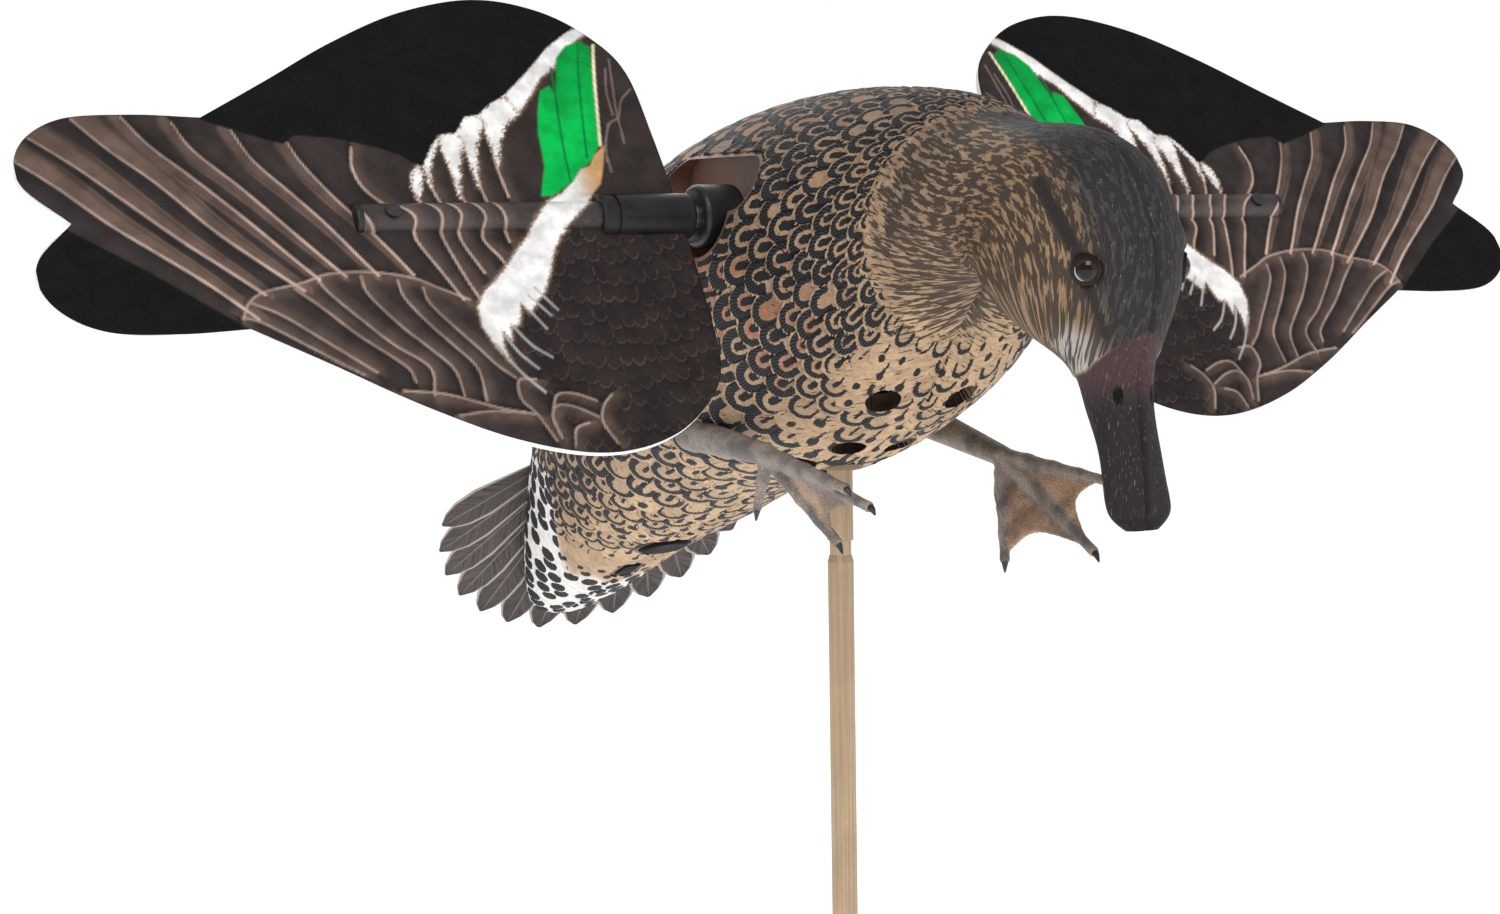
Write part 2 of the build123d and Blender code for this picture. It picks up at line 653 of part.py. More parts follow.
def wing_sheet(low, high):
    """A blade-shaped sheet, the same above and below the tube, slotted for the tube and the sleeve."""
    with BuildPart() as sheet:
        with BuildSketch(wing_plane.offset(low)):
            with BuildLine():
                Spline(
                    (71.3, 0),
                    (72.2, 32),
                    (74.5, 60),
                    (84, 75),
                    (101, 86.5),
                    (125, 91),
                    (154, 84.5),
                    (182, 71),
                    (208, 55),
                    (233, 40),
                    tangents=((0, 1), (1, -0.45)),
                )
                Spline(
                    (233, 40),
                    (256, 41),
                    (279, 39),
                    (293, 29),
                    (295, 15),
                    (281.6, 0),
                    tangents=((1, 0.08), (-1, -0.95)),
                )
                mirror(about=Plane.XZ)
            make_face()
            with Locations(((SLEEVE_OUT + 60) / 2, 0)):
                Rectangle(SLEEVE_OUT - 60, 2 * SLEEVE_R, mode=Mode.SUBTRACT)
            with Locations(((TUBE_OUT + 2.4 + 60) / 2, 0)):
                Rectangle(TUBE_OUT + 2.4 - 60, 2 * TUBE_R, mode=Mode.SUBTRACT)
        extrude(amount=high - low)
    return sheet.part


write_pair(wing_sheet(SHEET_BACK, SHEET_SPLIT), "wing_core")
write_pair(wing_sheet(SHEET_SPLIT, SHEET_FRONT), "wing_print")

# ---------------------------------------------------------------- charging port and its cap

JACK_R, CAP_R, CAP_BORE_R = 7, 10.6, 4
with BuildPart() as port_cup:
    with BuildSketch(CAP_PLANE.offset(-PORT_DEPTH)):
        Circle(PORT_R)
    extrude(amount=PORT_DEPTH)
    with BuildSketch(CAP_PLANE.offset(-3)):
        Circle(CAP_R + 0.4)
    extrude(amount=3, mode=Mode.SUBTRACT)
    with BuildSketch(CAP_PLANE.offset(-PORT_DEPTH)):
        Circle(JACK_R)
    extrude(amount=PORT_DEPTH, mode=Mode.SUBTRACT)
write(port_cup.part, "port_cup")

with BuildPart() as charge_jack:
    with BuildSketch(CAP_PLANE.offset(-PORT_DEPTH - 4)):
        Circle(JACK_R)
    extrude(amount=PORT_DEPTH + 1)
    with BuildSketch(CAP_PLANE.offset(-PORT_DEPTH)):
        Circle(CAP_BORE_R + RUNNING)
    extrude(amount=PORT_DEPTH, mode=Mode.SUBTRACT)
write(charge_jack.part, "charge_jack")

with BuildPart() as charge_cap:
    with BuildSketch(CAP_PLANE.offset(-2.8)):
        Circle(CAP_R)
    extrude(amount=4.2)
    fillet(charge_cap.edges().group_by(Axis.Z)[0], 2.5)
    with BuildSketch(CAP_PLANE.offset(-9)):
        Circle(CAP_BORE_R)
    extrude(amount=7)
write(charge_cap.part, "charge_cap")

# ---------------------------------------------------------------- rocker switch

ROCKER_LONG, ROCKER_WIDE, ROCKER_PIN_DEPTH, ROCKER_PIN_R = 15, 7.2, 4, 0.8
rocker_axis_plane = Plane(
    origin=SWITCH_PLANE.from_local_coords((0, 0, -ROCKER_PIN_DEPTH)),
    x_dir=SWITCH_PLANE.y_dir,
    z_dir=(1, 0, 0),
)
with BuildPart() as switch_housing:
    with BuildSketch(SWITCH_PLANE.offset(-SWITCH_DEPTH)):
        SlotOverall(SWITCH_LONG, SWITCH_WIDE, rotation=90)
    extrude(amount=SWITCH_DEPTH)
    with BuildSketch(SWITCH_PLANE.offset(-8.5)):
        SlotOverall(ROCKER_LONG + 1.6, ROCKER_WIDE + 1, rotation=90)
    extrude(amount=8.5, mode=Mode.SUBTRACT)
    with BuildSketch(rocker_axis_plane.offset(-5.4)):
        Circle(ROCKER_PIN_R)
    extrude(amount=10.8, mode=Mode.SUBTRACT)
write(switch_housing.part, "switch_housing")

with BuildPart() as rocker_pin:
    with BuildSketch(rocker_axis_plane.offset(-5.4)):
        Circle(ROCKER_PIN_R)
    extrude(amount=10.8)
write(rocker_pin.part, "rocker_pin")

with BuildPart() as rocker:
    with BuildSketch(SWITCH_PLANE.offset(-6.5)):
        SlotOverall(ROCKER_LONG, ROCKER_WIDE, rotation=90)
    extrude(amount=7.3)
    fillet(rocker.edges().group_by(Axis((0, 0, 0), SWITCH_PLANE.z_dir))[-1], 1)
    with BuildSketch(rocker_axis_plane.offset(-6)):
        Circle(ROCKER_PIN_R + RUNNING)
    extrude(amount=12, mode=Mode.SUBTRACT)
write(rocker.part, "rocker")
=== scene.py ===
import json
from math import cos, pi, radians, sin

import bpy
import numpy as np
from mathutils import Matrix, Vector


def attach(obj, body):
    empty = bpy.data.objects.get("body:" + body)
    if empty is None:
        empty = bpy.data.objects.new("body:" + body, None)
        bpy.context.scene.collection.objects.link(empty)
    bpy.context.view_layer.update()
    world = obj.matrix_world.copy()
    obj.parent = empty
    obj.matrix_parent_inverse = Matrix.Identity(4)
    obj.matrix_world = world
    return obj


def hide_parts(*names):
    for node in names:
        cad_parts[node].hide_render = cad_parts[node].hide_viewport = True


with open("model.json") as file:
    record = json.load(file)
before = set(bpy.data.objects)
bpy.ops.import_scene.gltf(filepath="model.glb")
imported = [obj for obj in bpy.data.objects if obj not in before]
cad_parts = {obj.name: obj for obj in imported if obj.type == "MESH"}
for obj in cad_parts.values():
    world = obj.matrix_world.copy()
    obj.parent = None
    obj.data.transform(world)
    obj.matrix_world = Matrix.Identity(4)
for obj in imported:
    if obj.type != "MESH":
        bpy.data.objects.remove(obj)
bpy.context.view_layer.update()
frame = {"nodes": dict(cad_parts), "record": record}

# Shapes are worked out in millimetres in the row frame (origin at the pole's lower end, the duck faces -Y,
# +X is its left) and scaled to metres when a mesh is made.
MM = 0.001
scene = bpy.context.scene
chance = np.random.default_rng(11)
SIDES = (("left", 1), ("right", -1))


# ---------------------------------------------------------------- small helpers


def rgb(red, green, blue):
    """A display colour, 0 to 255, as the linear value that a shader takes."""
    c = np.array((red, green, blue), float) / 255
    return np.where(c <= 0.04045, c / 12.92, ((c + 0.055) / 1.055) ** 2.4)


def rgba(red, green, blue):
    return (*rgb(red, green, blue), 1.0)


def step(x, low, high):
    """0 below low, 1 above high, smooth between. low may be the larger one."""
    f = np.clip((x - low) / (high - low), 0, 1)
    return f * f * (3 - 2 * f)


def blend(colour, other, amount):
    return colour + (np.asarray(other) - colour) * np.asarray(amount)[..., None]


def unit(v):
    return v / np.maximum(np.linalg.norm(v, axis=-1, keepdims=True), 1e-9)


def new_mesh(name, points, quads):
    mesh = bpy.data.meshes.new(name)
    mesh.vertices.add(len(points))
    mesh.vertices.foreach_set("co", (points * MM).astype(np.float32).ravel())
    mesh.loops.add(quads.size)
    mesh.loops.foreach_set("vertex_index", quads.astype(np.int32).ravel())
    mesh.polygons.add(len(quads))
    mesh.polygons.foreach_set("loop_start", np.arange(0, quads.size, 4, dtype=np.int32))
    mesh.update(calc_edges=True)
    mesh.shade_smooth()
    return mesh


def field(mesh, name, values):
    """Writes a number, a vector or a colour for each point of a mesh."""
    values = np.asarray(values, np.float32)
    if values.ndim == 1:
        mesh.attributes.new(name, "FLOAT", "POINT").data.foreach_set("value", values)
    elif name.endswith("colour"):
        full = np.c_[values, np.ones(len(values), np.float32)]
        mesh.attributes.new(name, "FLOAT_COLOR", "POINT").data.foreach_set("color", full.ravel())
    else:
        mesh.attributes.new(name, "FLOAT_VECTOR", "POINT").data.foreach_set("vector", values.ravel())


def piece(name, mesh, materials, body, slot, *replaced):
    made = bpy.data.objects.new(name, mesh)
    scene.collection.objects.link(made)
    for material in materials:
        mesh.materials.append(material)
    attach(made, body)
    if replaced:
        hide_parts(*replaced)


def grid_quads(rows, columns):
    corner = (np.arange(rows - 1)[:, None] * columns + np.arange(columns - 1)[None]).ravel()
    return np.c_[corner, corner + columns, corner + columns + 1, corner + 1]


def tube_quads(rows, around):
    """Quads of a closed tube, whose rings have this many points each."""
    row, column = np.meshgrid(np.arange(rows - 1), np.arange(around), indexing="ij")
    after = (column + 1) % around
    quads = np.stack([row * around + column, row * around + after, (row + 1) * around + after,
                      (row + 1) * around + column], -1)
    return quads.reshape(-1, 4)


def joined(parts):
    """One set of points and quads from several."""
    starts = np.cumsum([0] + [len(points) for points, _ in parts[:-1]])
    quads = [quads + start for (_, quads), start in zip(parts, starts)]
    return np.vstack([points for points, _ in parts]), np.vstack(quads)


def rim_edges(quads):
    """The edges that only one quad has, each in the direction in which that quad runs it."""
    edges = np.vstack([quads[:, [i, (i + 1) % 4]] for i in range(4)])
    _, first, uses = np.unique(np.sort(edges, axis=1), axis=0, return_index=True, return_counts=True)
    return edges[first[uses == 1]]


def curve(points, steps=8):
    """A smooth line through a few points."""
    p = np.asarray(points, float)
    p = np.vstack([2 * p[0] - p[1], p, 2 * p[-1] - p[-2]])
    f = np.linspace(0, 1, steps, endpoint=False)[:, None]
    spans = [
        0.5 * (2 * b + (c - a) * f + (2 * a - 5 * b + 4 * c - d) * f**2 + (3 * b - a - 3 * c + d) * f**3)
        for a, b, c, d in zip(p[:-3], p[1:-2], p[2:-1], p[3:])
    ]
    return np.vstack([*spans, p[-2:-1]])


def line_distance(at, line, reach=8.0):
    """Distance of each point to a line of points, which side it is on, and how far along, 0 to 1."""
    away = np.full(len(at), 1e3)
    side, along = np.zeros(len(at)), np.zeros(len(at))
    low, high = line.min(0) - reach, line.max(0) + reach
    near = np.flatnonzero(((at >= low) & (at <= high)).all(1))
    lengths = np.r_[0, np.cumsum(np.linalg.norm(np.diff(line, axis=0), axis=1))]
    for a, b, done in zip(line[:-1], line[1:], lengths):
        local = at[near]
        close = ((local >= np.minimum(a, b) - reach) & (local <= np.maximum(a, b) + reach)).all(1)
        chosen = near[close]
        d, r = b - a, local[close] - a
        size = max(np.hypot(*d), 1e-6)
        f = np.clip(r @ d / size**2, 0, 1)
        gap = np.linalg.norm(r - f[:, None] * d, axis=1)
        closer = gap < away[chosen]
        chosen = chosen[closer]
        away[chosen] = gap[closer]
        side[chosen] = np.sign(d[0] * r[closer, 1] - d[1] * r[closer, 0])
        along[chosen] = (done + f[closer] * size) / lengths[-1]
    return away, side, along


def inside(at, outline):
    """Signed distance to a closed outline, positive inside."""
    closed = np.vstack([outline, outline[:1]])
    away, _, _ = line_distance(at, closed, 1e3)
    crossings = np.zeros(len(at), int)
    for a, b in zip(closed[:-1], closed[1:]):
        if a[1] == b[1]:
            continue
        spans = (at[:, 1] >= min(a[1], b[1])) & (at[:, 1] < max(a[1], b[1]))
        crossings += spans & (at[:, 0] < a[0] + (at[:, 1] - a[1]) * (b[0] - a[0]) / (b[1] - a[1]))
    return np.where(crossings % 2 == 1, away, -away)


# ---------------------------------------------------------------- material helpers


class Shader:
    """A node tree with a principled shader, and short ways to add nodes to it."""

    def __init__(self, name, roughness=0.6, **constants):
        self.material = bpy.data.materials.new(name)
        self.material.use_nodes = True
        self.tree = self.material.node_tree
        self.surface = self.tree.nodes["Principled BSDF"]
        self.surface.inputs["Roughness"].default_value = roughness
        for key, value in constants.items():
            self.surface.inputs[key.replace("_", " ")].default_value = value

    def node(self, kind, inputs=None, **settings):
        made = self.tree.nodes.new(kind)
        for key, value in settings.items():
            setattr(made, key, value)
        for key, value in (inputs or {}).items():
            self.put(made.inputs[key], value)
        return made

    def put(self, socket, value):
        if isinstance(value, bpy.types.NodeSocket):
            self.tree.links.new(value, socket)
        else:
            socket.default_value = value

    def math(self, operation, a, b=0.0):
        return self.node("ShaderNodeMath", {0: a, 1: b}, operation=operation).outputs[0]

    def span(self, value, low, high, out_low=0.0, out_high=1.0):
        inputs = {"Value": value, "From Min": low, "From Max": high, "To Min": out_low, "To Max": out_high}
        return self.node("ShaderNodeMapRange", inputs, interpolation_type="SMOOTHSTEP").outputs[0]

    def mix(self, amount, a, b, kind="MIX"):
        made = self.node("ShaderNodeMix", {0: amount, 6: a, 7: b}, data_type="RGBA", blend_type=kind)
        return made.outputs[2]

    def place(self, stretch=(1, 1, 1)):
        """Object coordinates in millimetres, stretched."""
        at = self.node("ShaderNodeTexCoord").outputs["Object"]
        scale = tuple(s / MM for s in stretch)
        return self.node("ShaderNodeMapping", {"Vector": at, "Scale": scale}).outputs[0]

    def noise(self, at, scale, detail=3.0, rough=0.55):
        inputs = {"Vector": at, "Scale": scale, "Detail": detail, "Roughness": rough}
        return self.node("ShaderNodeTexNoise", inputs).outputs["Fac"]

    def read(self, name, output="Fac"):
        return self.node("ShaderNodeAttribute", attribute_name=name).outputs[output]

    def stretch(self, vector, scale):
        return self.node("ShaderNodeMapping", {"Vector": vector, "Scale": scale}).outputs[0]

    def shade(self, amount, colour, dim, light):
        """A colour that runs from its product with one tint to its product with another."""
        return self.mix(amount, *(self.mix(1.0, colour, (*tint, 1), "MULTIPLY") for tint in (dim, light)))

    def bump(self, height, distance_mm):
        inputs = {"Height": height, "Distance": distance_mm * MM, "Strength": 1.0}
        self.put(self.surface.inputs["Normal"], self.node("ShaderNodeBump", inputs).outputs[0])

    def colour(self, value):
        self.put(self.surface.inputs["Base Color"], value)

    def roughness(self, value):
        self.put(self.surface.inputs["Roughness"], value)


def moulded(name, base, worn, roughness, grain_mm=0.6, bump_mm=0.05, **constants):
    """Moulded or painted plastic: a fine grain, soft blotches and scuffs."""
    s = Shader(name, roughness, **constants)
    base, worn = rgba(*base), rgba(*worn)
    at = s.place()
    blotch = s.noise(at, 0.06, 4)
    grain = s.noise(at, 1 / grain_mm, 2)
    scuff = s.span(s.noise(s.place((0.2, 1, 1)), 0.35, 5, 0.7), 0.6, 0.72)
    colour = s.mix(s.span(blotch, 0.35, 0.65), base, worn)
    s.colour(s.mix(s.math("MULTIPLY", scuff, 0.25), colour, worn))
    s.roughness(s.span(s.math("ADD", blotch, s.math("MULTIPLY", grain, 0.3)), 0.4, 0.9,
                       max(roughness - 0.08, 0.03), min(roughness + 0.12, 1.0)))
    s.bump(grain, bump_mm)
    return s.material


def metal(name, base, roughness):
    """Turned or brushed metal: fine lines along X."""
    s = Shader(name, roughness, Metallic=1.0)
    lines = s.noise(s.place((0.15, 1, 1)), 2.5, 4)
    base = rgba(*base)
    dull = tuple(c * 0.72 for c in base[:3]) + (1.0,)
    s.colour(s.mix(s.span(lines, 0.3, 0.7), dull, base))
    s.roughness(s.span(lines, 0.3, 0.7, roughness - 0.06, roughness + 0.1))
    s.bump(lines, 0.02)
    return s.material


# ---------------------------------------------------------------- camera, light, floor

CAMERA_AT = Vector((-510.03, -855.8, 428.84))
CAMERA_RIGHT = Vector((0.87453, -0.48474, -0.01509))
CAMERA_UP = Vector((0.05496, 0.06815, 0.99616))
CAMERA_AHEAD = Vector((0.48185, 0.872, -0.08624))


def add_camera():
    data = bpy.data.cameras.new("camera")
    data.lens, data.sensor_width = 66.0, 36.0
    data.clip_end = 100
    camera = bpy.data.objects.new("camera", data)
    turned = Matrix((CAMERA_RIGHT, CAMERA_UP, -CAMERA_AHEAD)).transposed().to_4x4()
    camera.matrix_world = Matrix.Translation(CAMERA_AT * MM) @ turned
    scene.collection.objects.link(camera)
    scene.camera = camera


def add_light(name, at, aim, size, power):
    data = bpy.data.lights.new(name, "AREA")
    data.size, data.energy = size, power
    lamp = bpy.data.objects.new(name, data)
    lamp.location = at
    lamp.rotation_euler = (Vector(aim) - Vector(at)).to_track_quat("-Z", "Y").to_euler()
    scene.collection.objects.link(lamp)


def add_studio():
    middle = (0, 0, 0.42)
    add_light("key", (-1.1, -1.3, 1.9), middle, 1.1, 22)
    add_light("fill", (1.2, -1.6, 0.7), middle, 1.4, 5)
    add_light("back", (0.3, 1.6, 1.3), middle, 1.4, 12)
    world = bpy.data.worlds.new("studio")
    world.use_nodes = True
    sky = world.node_tree.nodes["Background"]
    sky.inputs["Color"].default_value = (1, 1, 1, 1)
    seen = world.node_tree.nodes.new("ShaderNodeLightPath").outputs["Is Camera Ray"]
    bright = world.node_tree.nodes.new("ShaderNodeMapRange")
    world.node_tree.links.new(seen, bright.inputs["Value"])
    bright.inputs["To Min"].default_value, bright.inputs["To Max"].default_value = 0.5, 1.0
    world.node_tree.links.new(bright.outputs[0], sky.inputs["Strength"])
    scene.world = world
    s = Shader("floor", 0.9, Specular_IOR_Level=0.1, Emission_Color=(1, 1, 1, 1), Emission_Strength=0.55)
    s.colour(s.mix(s.noise(s.place(), 0.002, 2), (0.97, 0.97, 0.97, 1), (0.985, 0.985, 0.98, 1)))
    half, below = 15000, -0.5
    corners = np.array([(x * half, y * half, below) for x, y in ((-1, -1), (1, -1), (1, 1), (-1, 1))], float)
    floor = bpy.data.objects.new("floor", new_mesh("floor", corners, np.array([[0, 1, 2, 3]])))
    floor.data.materials.append(s.material)
    scene.collection.objects.link(floor)
    scene.view_settings.view_transform = "Standard"


# ---------------------------------------------------------------- feathers that lie like roof tiles

LATTICE = chance.random((97, 89, 6))  # what differs from feather to feather
ON_TOP = 9.0  # stands for the distance beyond the rim above where no feather lies above
RIGHT_ROWS = 60  # the right side takes its chance numbers this many rows further on
TILE_HALF_WIDTH, TILE_TIP, TILE_ROUND = 0.62, 1.0, 0.75


def tiles(row, turn, counts, ragged=0.25):
    """The topmost feather at each point.

    row counts the feather rows towards the tail, turn runs 0 to 1 round the body and counts gives how many
    feathers a row has. Returns how far in from the feather's rim a point is (0 rim, 1 centre), the place
    across and along the feather, the feather's own chance numbers, and the distance beyond the rim above.
    """
    rim = across = along = own = beyond = None
    for back in (1, 0):
        k = np.floor(row).astype(int) - back
        n = counts[np.clip(k, 0, len(counts) - 1)]
        place = turn * n + 0.5 * (k % 2)
        j = np.floor(place + 0.5).astype(int)
        luck = LATTICE[k % LATTICE.shape[0], j % LATTICE.shape[1]]
        a = place - j + (luck[:, 0] - 0.5) * ragged
        b = row - k + (luck[:, 1] - 0.5) * ragged * 1.6
        q = np.hypot(a / TILE_HALF_WIDTH, np.maximum(b - TILE_TIP, 0) / TILE_ROUND)
        if back:
            rim, across, along, own, beyond = 1 - q, a, b, luck, np.maximum(q - 1, 0)
            covered = q < 1
        else:
            rim = np.where(covered, rim, 1 - q)
            across, along = np.where(covered, across, a), np.where(covered, along, b)
            own = np.where(covered[:, None], own, luck)
            beyond = np.where(covered, ON_TOP, beyond)
    return rim, across, along, own, beyond


# ---------------------------------------------------------------- the bird's skin

# Cross-sections from tail to bill tip: back (y, z), belly (y, z), half width. Each is an ellipse.
STATIONS = np.array((
    (244, 261, 243, 256, 7), (236, 271, 230, 261, 19), (212, 312, 203, 271, 32), (170, 372, 159, 289, 47),
    (110, 430, 108, 307, 64), (55, 461, 58, 325, 70), (0, 472, 6, 336, 68), (-45, 473, -36, 352, 61),
    (-82, 469, -64, 371, 50), (-104, 462, -87, 398, 38), (-124, 458, -102, 408, 30),
    (-147, 456, -109, 408, 27), (-168, 449, -112, 405, 27), (-182, 434, -116, 401, 27),
    (-188, 415, -123, 396, 24), (-186, 397, -135, 389, 17), (-180, 383, -152, 381, 12.5),
    (-179.5, 370, -159, 369, 10.8), (-181, 357, -167, 357, 10.8), (-182.5, 345, -172, 345, 11.6),
    (-183, 337, -176, 337, 11.4), (-183, 332, -178, 332, 6),
), float)
NECK = 9  # the station where the body's grid ends and the finer one of the head starts
TIP = len(STATIONS) - 1
AXIS_Y, AXIS_Z = -14, 430
EYE_AT = np.array((16.1, -175.85, 412.2))


def stations_at(p):
    """A natural cubic spline through the stations."""
    n = len(STATIONS)
    bends = np.eye(n) * 4 + np.eye(n, k=1) + np.eye(n, k=-1)
    bends[0], bends[-1] = np.eye(n)[0], np.eye(n)[-1]
    load = np.zeros_like(STATIONS)
    load[1:-1] = 6 * (STATIONS[2:] - 2 * STATIONS[1:-1] + STATIONS[:-2])
    second = np.linalg.solve(bends, load)
    i = np.clip(np.floor(p).astype(int), 0, n - 2)
    f = (p - i)[:, None]
    return (((1 - f) ** 3 - (1 - f)) / 6 * second[i] + (f**3 - f) / 6 * second[i + 1]
            + (1 - f) * STATIONS[i] + f * STATIONS[i + 1])


def skin_grid(first, last, rows, columns):
    """Points of the left half, from station to station and from back to belly, evenly spaced."""
    fine = np.linspace(first, last, 2400)
    table = stations_at(fine)
    flank = np.c_[(table[:, :2] + table[:, 2:4]) / 2, table[:, 4]]
    tracks = (table[:, :2], table[:, 2:4], flank)
    steps = np.max([np.linalg.norm(np.diff(t, axis=0), axis=1) for t in tracks], axis=0)
    travel = np.r_[0, np.cumsum(steps)]
    p = np.interp(np.linspace(0, travel[-1], rows), travel, fine)
    table = stations_at(p)
    middle, half = (table[:, :2] + table[:, 2:4]) / 2, (table[:, :2] - table[:, 2:4]) / 2
    height, width = np.linalg.norm(half, axis=1), table[:, 4]
    angle = np.linspace(0, pi, 241)
    speed = np.hypot(width[:, None] * np.cos(angle), height[:, None] * np.sin(angle))
    arc = np.c_[np.zeros(rows), np.cumsum((speed[:, 1:] + speed[:, :-1]) / 2, axis=1)] * angle[1]
    turn = np.linspace(0, 1, columns)
    at = np.array([np.interp(turn * a[-1], a, angle) for a in arc])
    yz = middle[:, None] + half[:, None] * np.cos(at)[..., None]
    points = np.concatenate([(width[:, None] * np.sin(at))[..., None], yz], axis=-1)
    return points, p, turn, arc[:, -1]


def glow(at, centre, radius):
    """A soft round weight about a place."""
    return np.exp(-(((at - np.asarray(centre)) / np.asarray(radius)) ** 2).sum(-1))


TAN, BUFF, RUST = rgb(160, 135, 110), rgb(192, 164, 132), rgb(156, 106, 82)
GREY_BROWN, CHARCOAL, WHITE = rgb(112, 97, 85), rgb(54, 54, 57), rgb(228, 227, 225)
OCHRE, BILL_DARK, BILL_BASE = rgb(146, 120, 92), rgb(40, 36, 40), rgb(70, 52, 54)
ROW_SPACING = ((0, 8.5), (2, 9), (3.5, 10), (5, 12), (6.3, 12), (7.3, 9.5), (8.2, 7.5), (9, 5.5))
FEATHER_ASPECT = 1.15  # width over row spacing


def row_table():
    """Where the feather rows lie: the row count along the stations, and the feathers in each row."""
    fine = np.linspace(0, NECK, 1200)
    table = stations_at(fine)
    flank = np.c_[(table[:, :2] + table[:, 2:4]) / 2, table[:, 4]]
    steps = np.linalg.norm(np.diff(flank, axis=0), axis=1)
    spacing = np.interp(fine, *zip(*ROW_SPACING))
    rows = np.r_[0, np.cumsum(steps / spacing[1:])]
    rows = rows[-1] - rows
    height = np.hypot(*(table[:, :2] - table[:, 2:4]).T) / 2
    width = table[:, 4]
    girth = pi / 2 * (3 * (height + width) - np.sqrt((3 * height + width) * (height + 3 * width)))
    whole = np.arange(int(rows[0]) + 2)
    at = np.interp(whole, rows[::-1], fine[::-1])
    counts = np.round(np.interp(at, fine, girth / spacing) / FEATHER_ASPECT).astype(int)
    return fine, rows, np.maximum(counts, 3)


def plumage(at, p, turn, girth, side):
    """Colours, marks and relief of the feathered body. All arguments are flat arrays."""
    fine, rows, counts = row_table()
    row = np.interp(p, fine, rows) + RIGHT_ROWS * (side < 0)
    shifted = np.r_[counts, np.full(RIGHT_ROWS - len(counts), counts[-1]), counts]
    rim, across, along, own, beyond = tiles(row, turn, shifted)
    spacing = np.interp(p, *zip(*ROW_SPACING))
    size = spacing * FEATHER_ASPECT * TILE_HALF_WIDTH
    depth = rim * size
    belly = step(turn, 0.70, 0.84) * step(p, 2.2, 3.2)
    under = step(turn, 0.42, 0.62) * step(p, 3.3, 2.3)
    neck = step(p, 8.3, 9.0)
    flank = step(turn, 0.42, 0.52) * step(turn, 0.80, 0.68) * step(p, 3.6, 4.4) * step(p, 7.2, 6.4)

    band = size * (0.36 + 0.14 * own[:, 2] + 0.12 * flank)
    hoop = np.minimum(depth - 0.8, 0.8 + band - depth)
    hoop = np.minimum(hoop, (along - 0.70 + 0.1 * own[:, 3]) * spacing)
    hoop -= 1.3 * belly * (own[:, 4] > 0.55) + 0.4 * belly + 3 * under + 0.35 * neck
    heart = np.minimum((rim - 0.70 - 0.1 * own[:, 3]) * size, (0.26 - np.abs(across)) * size * 2)
    heart -= 2.0 * (own[:, 5] < 0.25) + 1.0 * belly + 3 * under + 0.9 * flank
    spot = (1 - np.hypot(across / (0.20 + 0.1 * own[:, 2]), (along - 1.25) / 0.34)) * size * 0.45
    spot -= 6 * (1 - under) * (1 - 0.85 * belly * (own[:, 4] > 0.5))
    dark = np.maximum(np.maximum(hoop, heart), spot) - 4 * step(p, 8.6, 8.95)

    rusty = step(glow(at, (60, 10, 400), (30, 60, 40)) + glow(at, (30, -5, 470), (40, 70, 12))
                 + glow(at, (52, -40, 385), (20, 22, 22)), 0.25, 0.8)
    core = step(depth, 0.8 + band, 1.3 + band) * (own[:, 3] > 0.78 - 0.5 * rusty)
    ground = blend(np.broadcast_to(TAN, at.shape), BUFF, 0.8 * belly + 0.5 * under)
    ground = blend(ground, GREY_BROWN, 0.45 * step(turn, 0.45, 0.1))
    ground = ground * (0.86 + 0.28 * own[:, 4])[:, None]
    ground = blend(ground, RUST, 0.85 * core * (1 - belly) * (1 - under) * (0.35 + 0.65 * rusty))
    rim_line = step(depth, 0.75, 0.3) * (beyond == ON_TOP)
    ground = blend(ground, BUFF * 1.1, 0.5 * rim_line * (1 - neck))
    white_end = 2.3 + 4.6 * np.clip(0.82 - turn, 0, 0.2) + 0.1 * np.sin(turn * 23)
    white_tip = step(p, white_end + 0.15, white_end - 0.1) * step(turn, 0.36, 0.46)
    ground = blend(ground, WHITE, white_tip)
    blotch = (1 - np.hypot(across / 0.38, (along - 1.2) / 0.45)) * size * 0.5 - 6 * (own[:, 2] < 0.2)
    dark = np.where(white_tip > 0.5, blotch, dark)
    shadow = np.exp(-beyond * size / 0.7) * (beyond < ON_TOP)
    ground = ground * (1 - 0.35 * shadow)[:, None]
    relief = 0.65 * step(along, 0.55, 1.65) * (1 - 0.55 * belly) * (1 - 0.6 * neck)
    relief = relief + 0.12 * step(dark, -0.3, 0.3)
    barb = np.arctan2(along - 0.35, across * 1.4) * size / 0.95
    streak = 0.40 + 0.36 * neck + 0.08 * belly - 0.16 * under - 0.3 * white_tip
    return ground, dark, streak, barb, relief


STRIPE = ((12.5, -179, 392), (17.0, -178.3, 402), (19.8, -175.7, 415.9), (21.6, -171.6, 423.8),
          (22.6, -165.2, 432.1), (22.3, -159.0, 438.5))
CROWN_EDGE = ((9, 6), (10, 10), (11, 14), (12.5, 17), (13.6, 16), (14.6, 14.5), (15.2, 11), (15.8, 8))
BILL_EDGE = ((0, 15.25), (0.2, 15.6), (0.45, 16.1), (0.75, 16.25), (1, 15.95))


